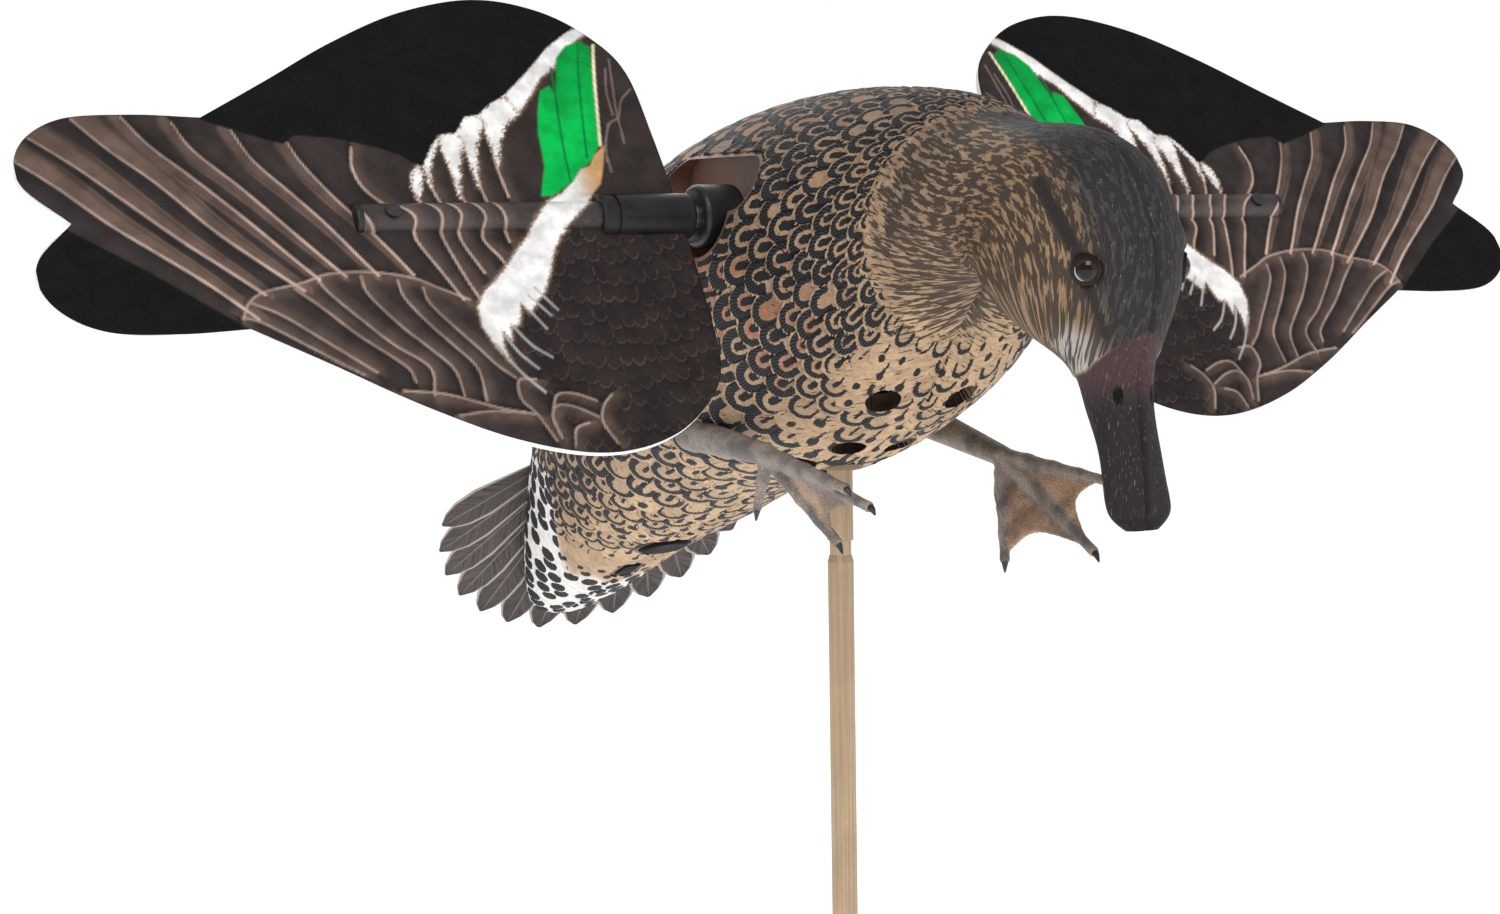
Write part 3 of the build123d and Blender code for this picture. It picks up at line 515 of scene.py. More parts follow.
def head(at, p, turn, girth, side):
    """Colours, marks and relief of the head and bill, from what plumage takes."""
    bill = step(p - np.interp(turn, *zip(*BILL_EDGE)), -0.05, 0.08)
    edge = np.interp(p, *zip(*CROWN_EDGE))
    crown = step(at[:, 0], edge + 6, edge - 3) * (turn < 0.5)
    ground = blend(np.broadcast_to(OCHRE, at.shape), TAN, step(p, 11.5, 9.5))
    ground = blend(ground, GREY_BROWN, 0.6 * step(p, 10.2, 9.2) * (turn < 0.6))
    ground = blend(ground, CHARCOAL * 1.15, crown)
    away = np.min([np.linalg.norm(at - q, axis=1) for q in curve(STRIPE, 10)], axis=0)
    stripe = step(away, 3.0, 1.6)
    ground = blend(ground, CHARCOAL * 0.8, stripe)
    pale = step(glow(at, (13, -166, 387), (9, 12, 10)), 0.2, 0.8) * (1 - crown)
    ground = blend(ground, rgb(190, 188, 186), 0.7 * pale)
    ring = np.linalg.norm(at - np.array((18.2, -177.5, 412)), axis=1)
    # Painted shade: the skin round the eye socket, where it sinks under the lid, is darkened to near
    # charcoal.
    ground = blend(ground, CHARCOAL * 0.5, step(ring, 5.2, 3.8))
    horn = blend(np.broadcast_to(BILL_DARK, at.shape), BILL_BASE, step(p, 17.2, 16.2))
    nail = step(p, 20.0, 20.4) * step(turn, 0.5, 0.4)
    horn = blend(horn, BILL_DARK * 0.6, nail)
    nostril = step(glow(at, (6.6, -178.2, 373.5), (1.7, 3, 3.4)), 0.35, 0.6)
    # Painted shade: the nostril's hollow is painted near black.
    horn = blend(horn, rgb(12, 11, 12), nostril)
    lip = np.exp(-(((turn - 0.80) * girth / 0.6) ** 2)) * step(p, 16.2, 16.7) * step(p, 20.6, 20.1)
    # Painted shade: the bill is darkened along the groove where it closes.
    horn = horn * (1 - 0.6 * lip)[:, None]
    ground = blend(ground, horn, bill)
    feathered = 1 - bill
    relief = (0.7 * feathered - 1.1 * step(ring, 6.5, 4.0) + 1.2 * glow(at, (20, -178, 420.5), (5, 5, 4))
              + 1.8 * glow(at, (24, -138, 418), (20, 16, 16)) - 1.3 * nostril
              + 0.7 * glow(at, (7, -179, 379), (3, 3, 3)) - 0.7 * lip
              + 0.8 * np.exp(-((turn * girth / 3.2) ** 2)) * step(p, 16, 17.5) * step(p, 20.4, 19.6))
    streak = feathered * (0.80 - 0.04 * crown + 0.22 * stripe - 0.10 * pale)
    return ground, np.full(len(at), -3.0), streak, turn * 40, relief


def hole_circle(radius):
    return lambda at: np.hypot(at[:, 0], at[:, 1]) - radius


def hole_slot(long, wide, centre=(0, 0), lengthwise=1):
    def gap(at):
        d = at - np.asarray(centre)
        run = np.maximum(np.abs(d[:, lengthwise]) - (long - wide) / 2, 0)
        return np.hypot(run, d[:, 1 - lengthwise]) - wide / 2
    return gap


def pocket_gap(at):
    return np.minimum(hole_circle(16)(at), hole_slot(70, 22, (10, 11), 0)(at))


def hole_list():
    """Each hole in the skin: its centre, the way out, its own two axes, its outline and its wall's depth."""
    vents = ((15.7, -56, 366), (11, -25, 347), (18.5, -3, 341))
    return [(vent, (0.3, -0.4, -0.87), (1, 0, 0), hole_circle(6.2), 7.0) for vent in vents] + [
        ((0, 140.5, 296), (0, -0.333, -0.943), (1, 0, 0), hole_circle(12.4), 1.5),  # charge cap
        ((0, 175, 283), (0, -0.379, -0.926), (1, 0, 0), hole_slot(20, 12.5), 1.5),  # rocker switch
        ((0, 0, 336), (0, 0, -1), (1, 0, 0), hole_circle(8.6), 3.0),  # pole receiver
        ((60, AXIS_Y, AXIS_Z), (1, 0, 0), (0, 1, 0), pocket_gap, 1.5),  # wing pocket
    ]


def cut_holes(points, quads, holes):
    """Opens the holes: takes out the quads inside, draws the rim onto the outline and adds a short wall."""
    walls = []
    for centre, out, first, gap, depth in holes:
        out = unit(np.array(out, float))
        first = unit(np.array(first, float) - out * (np.array(first, float) @ out))
        second = np.cross(out, first)
        local = points - np.array(centre, float)
        near = np.flatnonzero((np.abs(local @ out) < 22) & (np.linalg.norm(local, axis=1) < 60))
        flat = np.c_[local[near] @ first, local[near] @ second]
        away = np.full(len(points), 99.0)
        away[near] = gap(flat)
        quads = quads[away[quads].mean(1) > 0]
        rim = np.sort(rim_edges(quads), axis=1)
        rim = rim[(np.abs(away[rim]) < 1.6).all(1)]
        lip = np.unique(rim)
        for _ in range(3):
            flat = np.c_[(points[lip] - centre) @ first, (points[lip] - centre) @ second]
            d, h = gap(flat), 0.02
            slope = np.c_[gap(flat + (h, 0)) - d, gap(flat + (0, h)) - d] / h
            move = slope * d[:, None]
            points[lip] -= move[:, :1] * first + move[:, 1:] * second
        lower = {v: len(points) + i for i, v in enumerate(lip)}
        points = np.vstack([points, points[lip] - out * depth])
        walls.append(np.array([(a, b, lower[b], lower[a]) for a, b in rim]).reshape(-1, 4))
    wall = np.vstack(walls)
    return points, np.vstack([quads, wall]), len(wall)


def skin_material():
    s = Shader("feathers", 0.62, Specular_IOR_Level=0.18)
    flow = s.read("flow", "Vector")
    streak = s.read("streak")
    wavy = s.noise(s.stretch(flow, (0.62, 0.17, 1)), 1.0, 2.5, 0.6)
    limit = s.math("SUBTRACT", 0.86, s.math("MULTIPLY", streak, 0.5))
    streaks = s.span(s.math("SUBTRACT", wavy, limit), -0.03, 0.05)
    dashes = s.noise(s.stretch(flow, (0.9, 0.4, 1)), 1.0, 2, 0.6)
    broken = s.math("MULTIPLY", s.math("SUBTRACT", dashes, 0.5), 1.6)
    marks = s.span(s.math("ADD", s.read("dark"), broken), -0.12, 0.18)
    ribs = s.math("SINE", s.math("MULTIPLY", s.read("barb"), 2 * pi))
    paint = s.noise(flow, 0.35, 4, 0.65)
    fine = s.noise(s.stretch(flow, (2.2, 0.5, 1)), 1.0, 3, 0.6)
    ground = s.shade(s.span(paint, 0.3, 0.7), s.read("ground_colour", "Color"),
                     (0.80, 0.78, 0.78), (1.14, 1.12, 1.1))
    ground = s.mix(s.span(fine, 0.60, 0.74, 0, 0.42), ground, rgba(214, 196, 172))
    ink = s.mix(s.span(ribs, -0.9, 0.9), rgba(24, 24, 26), rgba(52, 53, 56))
    marked = s.mix(marks, ground, ink)
    s.colour(s.mix(s.math("MULTIPLY", streaks, 0.86), marked, rgba(42, 38, 37)))
    s.roughness(s.span(paint, 0.3, 0.7, 0.5, 0.72))
    ridges = s.math("MULTIPLY", s.math("MULTIPLY", ribs, marks), 0.22)
    height = s.math("ADD", s.math("MULTIPLY", streaks, -0.55), ridges)
    s.bump(s.math("ADD", height, s.math("MULTIPLY", fine, 0.5)), 0.45)
    return s.material


def add_skin(side_name, side, materials):
    parts, fields = [], {key: [] for key in ("ground_colour", "dark", "streak", "barb", "flow")}
    for first, last, rows, columns, paint in ((NECK, 0, 450, 221, plumage), (NECK, TIP, 270, 121, head)):
        points, p, turn, girth = skin_grid(min(first, last), max(first, last), rows, columns)
        lengths = np.linalg.norm(np.diff(points, axis=0), axis=2)
        along = np.c_[np.zeros(columns), np.cumsum(lengths, axis=0).T].T
        along = along - along[-1] if last == 0 else along
        normal = unit(np.cross(np.gradient(points, axis=0), np.gradient(points, axis=1)))
        turns = np.broadcast_to(turn, points.shape[:2])
        flat = (points.reshape(-1, 3), np.repeat(p, columns), turns.ravel(), np.repeat(girth, columns))
        ground, dark, streak, barb, relief = paint(*flat, side)
        seam = np.minimum(flat[2], 1 - flat[2]) * flat[3]
        relief = relief * step(seam, 0, 1.5) - 0.5 * np.exp(-((seam / 0.7) ** 2))
        points = points + normal * relief.reshape(points.shape[:2])[..., None]
        points[:, 0, 0] = points[:, -1, 0] = 0.0
        ring = points[:1] if last == 0 else points[-1:]
        centre = ring.mean(1, keepdims=True) * np.array((0, 1, 1))
        caps = np.concatenate([centre + (ring - centre) * s for s in (0.7, 0.4, 0.02)])
        spread = (lambda v: np.concatenate([np.repeat(v[:1], 3, 0), v])) if last == 0 else (
            lambda v: np.concatenate([v, np.repeat(v[-1:], 3, 0)]))
        points = np.concatenate([caps[::-1], points]) if last == 0 else np.concatenate([points, caps])
        shape = (rows, columns)
        flow = np.stack([turns * girth[:, None], along, 37.0 * (side > 0) + 0 * along], -1)
        marks = (v.reshape(shape) for v in (dark, streak, barb))
        for key, value in zip(fields, (ground.reshape(*shape, 3), *marks, flow)):
            value = spread(value)
            fields[key].append(value.reshape(-1, 3) if value.ndim == 3 else value.ravel())
        parts.append((points.reshape(-1, 3), grid_quads(rows + 3, columns)))
    points, quads = joined(parts)
    before = len(points)
    points, quads, walls = cut_holes(points, quads, hole_list())
    added = len(points) - before
    points = points * np.array((side, 1, 1))
    if side < 0:
        quads = quads[:, ::-1]
    mesh = new_mesh("skin_" + side_name, points, quads)
    for key, values in fields.items():
        whole = np.concatenate(values)
        whole = np.concatenate([whole, np.zeros((added, *whole.shape[1:]))])
        field(mesh, key, whole)
    index = np.zeros(len(quads), np.int32)
    index[-walls:] = 1
    mesh.polygons.foreach_set("material_index", index)
    piece("skin_" + side_name, mesh, materials, "decoy", "shell", "body_shell_" + side_name)


# ---------------------------------------------------------------- wings

WING_LEAN = radians(34)
SHEET_FRONT, SHEET_SPLIT = 1.4, 0.6
TUBE_R, TUBE_IN, TUBE_OUT = 5.65, 82, 188
WING_UP = np.array((0, sin(WING_LEAN), cos(WING_LEAN)))
WING_OUT = np.array((0, -cos(WING_LEAN), sin(WING_LEAN)))
BLADE = ((71.3, 0), (72.2, 32), (74.5, 60), (84, 75), (101, 86.5), (125, 91), (154, 84.5), (182, 71),
         (208, 55), (233, 40))
BLADE_TIP = ((233, 40), (256, 41), (279, 39), (293, 29), (295, 15), (281.6, 0))

# The printed wing, in millimetres along and up the sheet. Each feather is drawn by its pale edge, tip first.
PRIMARIES = (
    ((206, 30), (203, 22), (196, 10), (189, 0), (181, -12), (175, -22)),
    ((224, 35), (219, 23), (209, 10), (200, -2), (191, -16), (187, -22)),
    ((243, 38), (238, 27), (225, 12), (214, -2), (203, -16), (198, -22)),
    ((259, 40), (252, 29), (240, 16), (226, 0), (213, -16), (207, -23)),
    ((275, 39), (265, 27), (252, 14), (238, -3), (226, -15), (213, -27)),
    ((291, 33), (277, 21), (262, 6), (248, -8), (238, -17), (226, -28)),
    ((299, 26), (285, 14), (270, -1), (257, -12), (243, -24), (230, -37)),
)
SECONDARIES = (
    ((134, 31), (134.5, 20), (133.5, 8)),
    ((143.5, 30), (143, 18), (142, 7), (139, -2), (138, -10)),
    ((151.5, 28), (151.5, 18), (150, 7), (146, -2), (147, -9), (143, -16), (140, -23)),
    ((160.5, 20), (160, 12), (158.5, 6), (154.5, -1), (155, -9), (150, -22)),
    ((166.5, 15), (166, 7), (161.5, -1), (161, -9), (157, -24), (153.5, -34)),
    ((184.5, 28), (186, 20), (184, 12), (178, 5), (171, -2), (170.5, -9), (165, -21), (160, -32)),
)
COVERTS = (
    ((173, -27), (172, -33), (166, -42), (160, -50), (155, -57), (150, -62)),
    ((181, -24), (180, -31), (174, -41), (168, -49), (162, -58), (162, -70)),
    ((193, -22), (192, -29), (184, -41), (177, -49), (170, -58), (169, -68)),
    ((208, -22), (205, -28), (196, -39), (188, -48), (178, -57), (179, -67)),
    ((216, -26), (208, -34), (199, -44), (186, -56), (184, -62)),
    ((231, -31), (222, -36), (210, -46), (196, -58)),
    ((235, -36), (228, -39), (214, -49), (200, -59)),
    ((158, -32), (168, -27), (176, -23), (190, -20.5), (204, -21), (213, -24), (226, -27), (232, -31),
     (235, -37)),
    ((124, -72), (131, -69), (137, -69), (140, -74)),
    ((125, -78), (132, -74), (138, -73), (141, -77), (140, -85)),
    ((118, -70), (122, -74), (124, -80), (121, -88)), ((129, -80), (134, -82), (136, -88)),
    ((143, -63), (149, -63), (150, -70), (146, -76), (142, -86)),
    ((146, -76), (158, -73), (175, -67), (189, -65)), ((150, -75), (162, -74), (173, -75)),
)
WHITE_ENDS = (
    ((153.5, -49), (147.5, -60), (141, -68)), ((150, -45), (146, -53), (141, -59)),
    ((146, -42), (141, -50), (135, -55)), ((138, -37), (134, -44)), ((134, -28), (128, -37)),
    ((137, -31), (131, -39)),
)
FAINT = (
    ((79.5, 66), (81, 57), (83, 44), (84, 30)),
    ((75, 53), (80, 48), (83, 41), (87, 38.5), (90, 33), (92, 27), (92.5, 18)),
    ((82, 62), (84.5, 52), (85, 42)), ((88, 38), (91, 30), (93, 22)),
)
SILHOUETTE = (
    (60, 100), (88, 80.5), (93, 77.5), (102, 71), (114, 59), (124, 50), (130, 46.5), (136, 41.5),
    (141, 40.8), (146, 34), (152, 33.5), (156, 29), (161, 21), (164, 21.5), (168, 25), (175, 28), (190, 32),
    (203, 33), (207.5, 29.5), (222, 34.5), (233, 39), (240, 60), (312, 60), (312, 14), (297, 9),
    (283, -3), (262, -18),
    (233, -41), (225, -62), (200, -100), (60, -100),
)
WHITES = (
    ((86, 81), (93, 77.5), (102, 71), (114, 59), (124, 50), (121, 42), (114, 50), (108, 58), (102, 62),
     (97, 69), (90, 74), (84, 78)),
    ((124, 50), (130, 46.5), (136, 41.5), (134.5, 30), (134, 20), (131, 30), (127, 37), (121, 42)),
    ((136, 41.5), (141, 40.8), (146, 34), (144, 26), (143.4, 12), (140, 28), (136, 36), (134.5, 37)),
    ((146, 34), (152, 33.5), (153, 30), (151.8, 22), (151, 8), (148, 20), (145, 28), (144, 31)),
    ((152, 33.5), (156, 29), (161, 21), (160.5, 12), (158, 22), (154, 29)),
    ((163, 20.5), (165.5, 18), (167, 12), (166, 7), (164, 12), (162, 18)),
    ((103, 8), (112, 10), (120, 6), (125, 0), (131, -8), (137, -14), (143, -21), (152, -29), (156, -35),
     (156.3, -42), (153.5, -50), (149.5, -57), (150.8, -50), (149.7, -44), (147.5, -48), (146.5, -43),
     (143, -42), (140.5, -34), (138, -38), (134, -33), (131, -30), (127, -23), (123, -14), (119, -8),
     (113, -3), (107, 3)),
)
BUFF_PATCH = ((92, 29), (97, 25), (100, 20.5), (104, 19), (108, 14), (113, 10), (110, 7), (103, 8), (98, 13),
              (95, 20))
SPECULUM = (
    (85.5, 71.5), (89, 73.8), (95, 71.5), (100, 66), (102, 58), (104.5, 50), (106, 54), (110, 52),
    (113.5, 42), (115.5, 34), (117, 20), (119, 15), (121.5, 8), (117, 8.5), (113, 11), (108, 14.5),
    (104, 19), (100, 21.5), (94, 29), (91, 45), (88, 58),
)
SPECULUM_LINES = (((90, 72), (93, 60), (96, 46), (100, 24)), ((103, 62), (105, 48), (107.5, 30), (109, 14)))
CREAM_LINE = ((84, 72), (87, 60), (90, 46), (93.5, 29))
BLADE_REACH = (295.55, 90.98)  # the sheet stays inside the CAD sheet
PRINT_BLACK, PRINT_BROWN, PRINT_LIGHT = rgb(17, 17, 19), rgb(54, 47, 46), rgb(118, 97, 86)
PALE_EDGE, SPECULUM_GREEN, PRINT_WHITE = rgb(198, 172, 158), rgb(0, 180, 76), rgb(236, 234, 232)


def draw(colour, at, line, ink, width, fade=0.0):
    """A soft line, thinner and fainter towards its first point when fade is set."""
    away, _, along = line_distance(at, curve(line), 3.0)
    half = width / 2 * (1 - fade * 0.5 * (1 - along))
    return blend(colour, ink, step(away, half + 0.35, half - 0.25) * (1 - fade * 0.45 * (1 - along)))


def paint_wing(at):
    """The colour of the print at points (along, up) of the sheet."""
    speckle = 1.4 * (chance.random(len(at)) - 0.5)
    colour = np.broadcast_to(PRINT_BLACK, (len(at), 3))
    bird = step(inside(at, np.array(SILHOUETTE, float)), -0.3, 0.3)
    colour = blend(colour, PRINT_BROWN, bird)
    shade = np.zeros(len(at))
    for number, line in enumerate(PRIMARIES):
        away, side, along = line_distance(at, curve(line), 12.0)
        right = side > 0
        broad = number >= 4
        width = (9.5 if broad else 5.5) * (1 - 0.72 * along)
        band = step(away, width, width * 0.55) * step(away, 0.2, 0.9) * (right != broad)
        shade = np.maximum(shade, band * (0.62 if broad else 0.45))
        dark = step(away, width * 1.1, 0.3) * (right == broad)
        colour = blend(colour, PRINT_BLACK * 1.3, 0.5 * dark * bird)
        quill = np.exp(-(((away - width * 0.92) / 0.45) ** 2)) * (right != broad)
        shade = np.maximum(shade, 0.75 * quill * step(along, 0.05, 0.4))
    colour = blend(colour, PRINT_LIGHT, shade * bird)
    near_arm = step(at[:, 0], 152, 138) * step(at[:, 1], 2, -8)
    from_arm = at - (104, 34)
    rim, _, _, own, beyond = tiles(np.hypot(*from_arm.T) / 8.0, np.arctan2(*from_arm.T[::-1]) / pi + 1,
                                   np.arange(8, 80, 5))
    scale_edge = step(rim, 0.16, 0.04) * (0.35 + 0.5 * own[:, 2])
    colour = blend(colour, rgb(44, 38, 37), 0.8 * near_arm)
    colour = blend(colour, rgb(104, 86, 78), near_arm * 0.55 * scale_edge)
    colour = blend(colour, rgb(26, 22, 22), near_arm * 0.5 * np.exp(-beyond * 4) * (beyond < ON_TOP))
    for line in FAINT:
        colour = draw(colour, at, line, rgb(124, 104, 98), 0.6)
    for line in (*COVERTS, *SECONDARIES):
        away, side, along = line_distance(at, curve(line), 8.0)
        colour = blend(colour, PRINT_LIGHT, 0.35 * step(away, 6.0, 0.5) * (side < 0) * bird)
        colour = blend(colour, PRINT_BLACK, 0.4 * step(away, 3.5, 0.5) * (side > 0) * bird)
    for line in COVERTS:
        colour = draw(colour, at, line, PALE_EDGE * 0.62, 0.7)
    for line in SECONDARIES:
        colour = draw(colour, at, line, PALE_EDGE * 0.85, 0.8)
    for line in PRIMARIES:
        colour = draw(colour, at, line, PALE_EDGE, 0.95, 0.9)
    dusk = step(inside(at, np.array(WHITES[0], float)), -7, 0)
    colour = blend(colour, rgb(52, 42, 42), 0.6 * dusk * (at[:, 1] > 40) * bird)
    for outline in WHITES:
        gap = inside(at, np.array(outline, float))
        ragged = speckle * (1.2 if outline[0][1] > 12 and outline[0][0] > 100 else 0.5)
        colour = blend(colour, rgb(150, 116, 88), 0.55 * step(gap + speckle * 0.6, -1.6, -0.2) * bird)
        colour = blend(colour, PRINT_WHITE, step(gap + ragged, -0.5, 0.7) * bird)
    for line in WHITE_ENDS:
        colour = draw(colour, at, line, PRINT_WHITE * 0.5, 0.7)
    buff = step(inside(at, np.array(BUFF_PATCH, float)), -0.5, 0.5)
    colour = blend(colour, blend(np.broadcast_to(rgb(206, 160, 112), colour.shape), PRINT_WHITE,
                                 step(at[:, 0], 99, 110)), buff)
    green = step(inside(at, np.array(SPECULUM, float)), -0.5, 0.4)
    glossy = SPECULUM_GREEN * (0.62 + 0.38 * step(at[:, 1], 72, 35))[:, None]
    colour = blend(colour, glossy, green)
    for line in SPECULUM_LINES:
        colour = draw(colour, at, line, rgb(0, 112, 56), 0.7)
    colour = draw(colour, at, CREAM_LINE, rgb(240, 224, 190), 1.0)
    return colour


def blade_outline():
    upper = np.vstack([curve(BLADE, 10)[:-1], curve(BLADE_TIP, 10)])
    return np.vstack([upper, (upper * (1, -1))[::-1][1:-1]])


def on_wing(along, up, out, side):
    """Points of a wing from distances along the tube, up the sheet and out of its face."""
    at = up[:, None] * WING_UP + out[:, None] * WING_OUT + (0, AXIS_Y, AXIS_Z)
    at[:, 0] = side * along
    return at


def blade_grid():
    """A flat blade whose rim lies on the outline: its points, quads, rim edges and rim points."""
    outline, pitch = blade_outline(), 0.62
    us, vs = np.arange(70.5, 297, pitch), np.arange(-92, 92.1, pitch)
    at = np.stack(np.meshgrid(us, vs, indexing="ij"), -1).reshape(-1, 2)
    quads = grid_quads(len(us), len(vs))
    quads = quads[(inside(at, outline) > 0)[quads].all(1)]
    used, quads = np.unique(quads, return_inverse=True)
    at, quads = at[used], quads.reshape(-1, 4)
    rim = rim_edges(quads)
    lip = np.unique(rim)
    closed = np.vstack([outline, outline[:1]])
    fine = np.concatenate([a + (b - a) * np.linspace(0, 1, 12, endpoint=False)[:, None]
                           for a, b in zip(closed[:-1], closed[1:])])
    nearest = [np.argmin(((fine - q) ** 2).sum(1)) for q in at[lip]]
    at[lip] = fine[nearest]
    at = np.clip(at, (70, -BLADE_REACH[1]), BLADE_REACH)
    return at, quads, rim, lip


def print_material(name, roughness, specular):
    s = Shader(name, roughness, Specular_IOR_Level=specular)
    at = s.place()
    grain = s.noise(at, 1.6, 3, 0.7)
    soft = s.noise(at, 0.12, 4)
    ink = s.shade(s.span(soft, 0.3, 0.7), s.read("print_colour", "Color"), (0.80,) * 3, (1.25,) * 3)
    s.colour(s.mix(s.span(grain, 0.56, 0.74, 0, 0.10), ink, rgba(120, 112, 108)))
    s.roughness(s.span(grain, 0.3, 0.7, roughness - 0.08, roughness + 0.08))
    s.bump(grain, 0.09)
    return s.material


def add_wings():
    material = print_material("wing_print", 0.76, 0.1)
    tube_material = print_material("tube_print", 0.34, 0.45)
    at, quads, rim, lip = blade_grid()
    colour = paint_wing(at)
    rows, around = 178, 72
    along = np.repeat(np.linspace(TUBE_IN, TUBE_OUT, rows), around)
    angle = np.tile(np.linspace(0, 2 * pi, around, endpoint=False), rows)
    up, out = TUBE_R * np.cos(angle), TUBE_R * np.sin(angle)
    tube_colour = paint_wing(np.c_[along, up * 1.15])
    tube_colour = blend(tube_colour, PRINT_BLACK, step(out, 0.6, -0.6))
    for side_name, side in SIDES:
        lower = {v: len(at) + i for i, v in enumerate(lip)}
        front = on_wing(at[:, 0], at[:, 1], np.full(len(at), SHEET_FRONT), side)
        back = on_wing(at[lip, 0], at[lip, 1], np.full(len(lip), SHEET_SPLIT), side)
        wall = np.array([(b, a, lower[a], lower[b]) for a, b in rim])
        faces = np.vstack([quads, wall])
        faces = faces if side > 0 else faces[:, ::-1]
        mesh = new_mesh("print_" + side_name, np.vstack([front, back]), faces)
        field(mesh, "print_colour", np.vstack([colour, colour[lip]]))
        body = "wing_" + side_name
        piece("print_" + side_name, mesh, [material], body, "print", "wing_print_" + side_name)
        faces = tube_quads(rows, around)
        faces = faces if side < 0 else faces[:, ::-1]
        mesh = new_mesh("tube_" + side_name, on_wing(along, up, out, side), faces)
        field(mesh, "print_colour", tube_colour)
        piece("printed_tube_" + side_name, mesh, [tube_material], body, "print", "wing_tube_" + side_name)


# ---------------------------------------------------------------- tail fan

FAN_DROP = radians(51)
FAN_AT = np.array((0, 165, 350))
FAN_DOWN = np.array((0, cos(FAN_DROP), -sin(FAN_DROP)))
FAN_OUT = np.array((0, sin(FAN_DROP), cos(FAN_DROP)))
FEATHERS, FEATHER_STEP, FEATHER_ROOT = 14, 7.85, 42


def fan_material():
    s = Shader("tail_feather", 0.6, Specular_IOR_Level=0.35)
    across, run = s.read("across"), s.read("run")
    wide = s.math("ABSOLUTE", across)
    slant = s.math("SUBTRACT", run, s.math("MULTIPLY", wide, 9.0))
    split = s.node("ShaderNodeCombineXYZ", {0: slant, 1: s.math("MULTIPLY", across, 0.6), 2: s.read("own")})
    barbs = s.noise(split.outputs[0], 1.3, 3, 0.6)
    tone = s.mix(s.span(barbs, 0.35, 0.65), rgba(50, 44, 44), rgba(88, 79, 76))
    tone = s.mix(s.span(run, 100, 128, 0, 0.5), tone, rgba(44, 40, 40))
    tone = s.mix(s.span(wide, 0.80, 0.90, 0, 0.85), tone, rgba(176, 168, 158))
    tone = s.mix(s.span(wide, 0.08, 0.03, 0, 0.40), tone, rgba(150, 138, 128))
    s.colour(tone)
    ridge = s.span(wide, 0.16, 0.0)
    s.bump(s.math("ADD", s.math("MULTIPLY", barbs, 0.7), ridge), 0.5)
    return s.material


def add_tail():
    rows, around = 72, 28
    parts, across, run, own = [], [], [], []
    for number in range(FEATHERS):
        from_middle = number - (FEATHERS - 1) / 2
        turned = from_middle * FEATHER_STEP
        reach = 131 - 0.3 * abs(turned) - 0.0085 * turned**2
        b = np.linspace(FEATHER_ROOT, reach - 0.2, rows)[:, None]
        half = np.interp(b, (FEATHER_ROOT, reach - 20, reach - 10, reach - 4, reach),
                         (4.4, 9.5, 8.4, 5.2, 0.5))
        angle = np.linspace(0, 2 * pi, around, endpoint=False)[None]
        a = np.cos(angle) * np.ones_like(b)
        lift = 0.8 - 0.27 * abs(from_middle) - 0.35 * (from_middle > 0)
        w = 0.32 * np.sin(angle) + 0.25 * (1 - a**2) + lift + 0.09 * np.sin(a * 7 + number) * (b > 90)
        r = radians(turned)
        x = a * half * cos(r) + b * sin(r)
        d = b * cos(r) - a * half * sin(r)
        at = FAN_AT + d[..., None] * FAN_DOWN + w[..., None] * FAN_OUT
        at[..., 0] = x
        parts.append((at.reshape(-1, 3), tube_quads(rows, around)))
        across.append(a.ravel())
        run.append((b * np.ones_like(a)).ravel())
        own.append(np.full(a.size, number * 3.7))
    points, quads = joined(parts)
    mesh = new_mesh("tail_feathers", points, quads[:, ::-1])
    for key, values in (("across", across), ("run", run), ("own", own)):
        field(mesh, key, np.concatenate(values))
    piece("tail_feathers", mesh, [fan_material()], "decoy", "tail", "tail_fan")


# ---------------------------------------------------------------- feet

HIP = (50, 20, 352)
FEET = {
    "left": dict(hip=HIP, ankle=(49, -33, 342), hind=(50, -28, 328.5),
                 toes=((36, -53, 307), (46, -93, 313), (55, -87, 337))),
    "right": dict(hip=(-HIP[0], *HIP[1:]), ankle=(-49, -34, 348), hind=(-50, -28, 329),
                  toes=((-41, -67, 320), (-47, -98, 335), (-53, -93, 341))),
}


def limb(start, end, start_r, end_r, knuckles=0, rows=34, around=18):
    """A tapered round limb with rounded ends and slight knuckles."""
    start, end = np.array(start, float), np.array(end, float)
    ahead = unit(end - start)
    first = unit(np.cross(ahead, (0.3, 0.2, 1)))
    second = np.cross(ahead, first)
    length = np.linalg.norm(end - start)
    s = np.linspace(-start_r, length + end_r, rows)
    radius = start_r + (end_r - start_r) * np.clip(s / length, 0, 1)
    if knuckles:
        radius = radius * (1 + 0.16 * np.cos(2 * pi * knuckles * s / length) ** 6)
    cap = np.where(s < 0, 1 - (s / start_r) ** 2, np.where(s > length, 1 - ((s - length) / end_r) ** 2, 1))
    radius = radius * np.sqrt(np.clip(cap, 0.0004, 1))
    angle = np.linspace(0, 2 * pi, around, endpoint=False)
    ring = np.cos(angle)[:, None] * first + np.sin(angle)[:, None] * second
    points = start + s[:, None, None] * ahead + radius[:, None, None] * ring
    return points.reshape(-1, 3), tube_quads(rows, around)


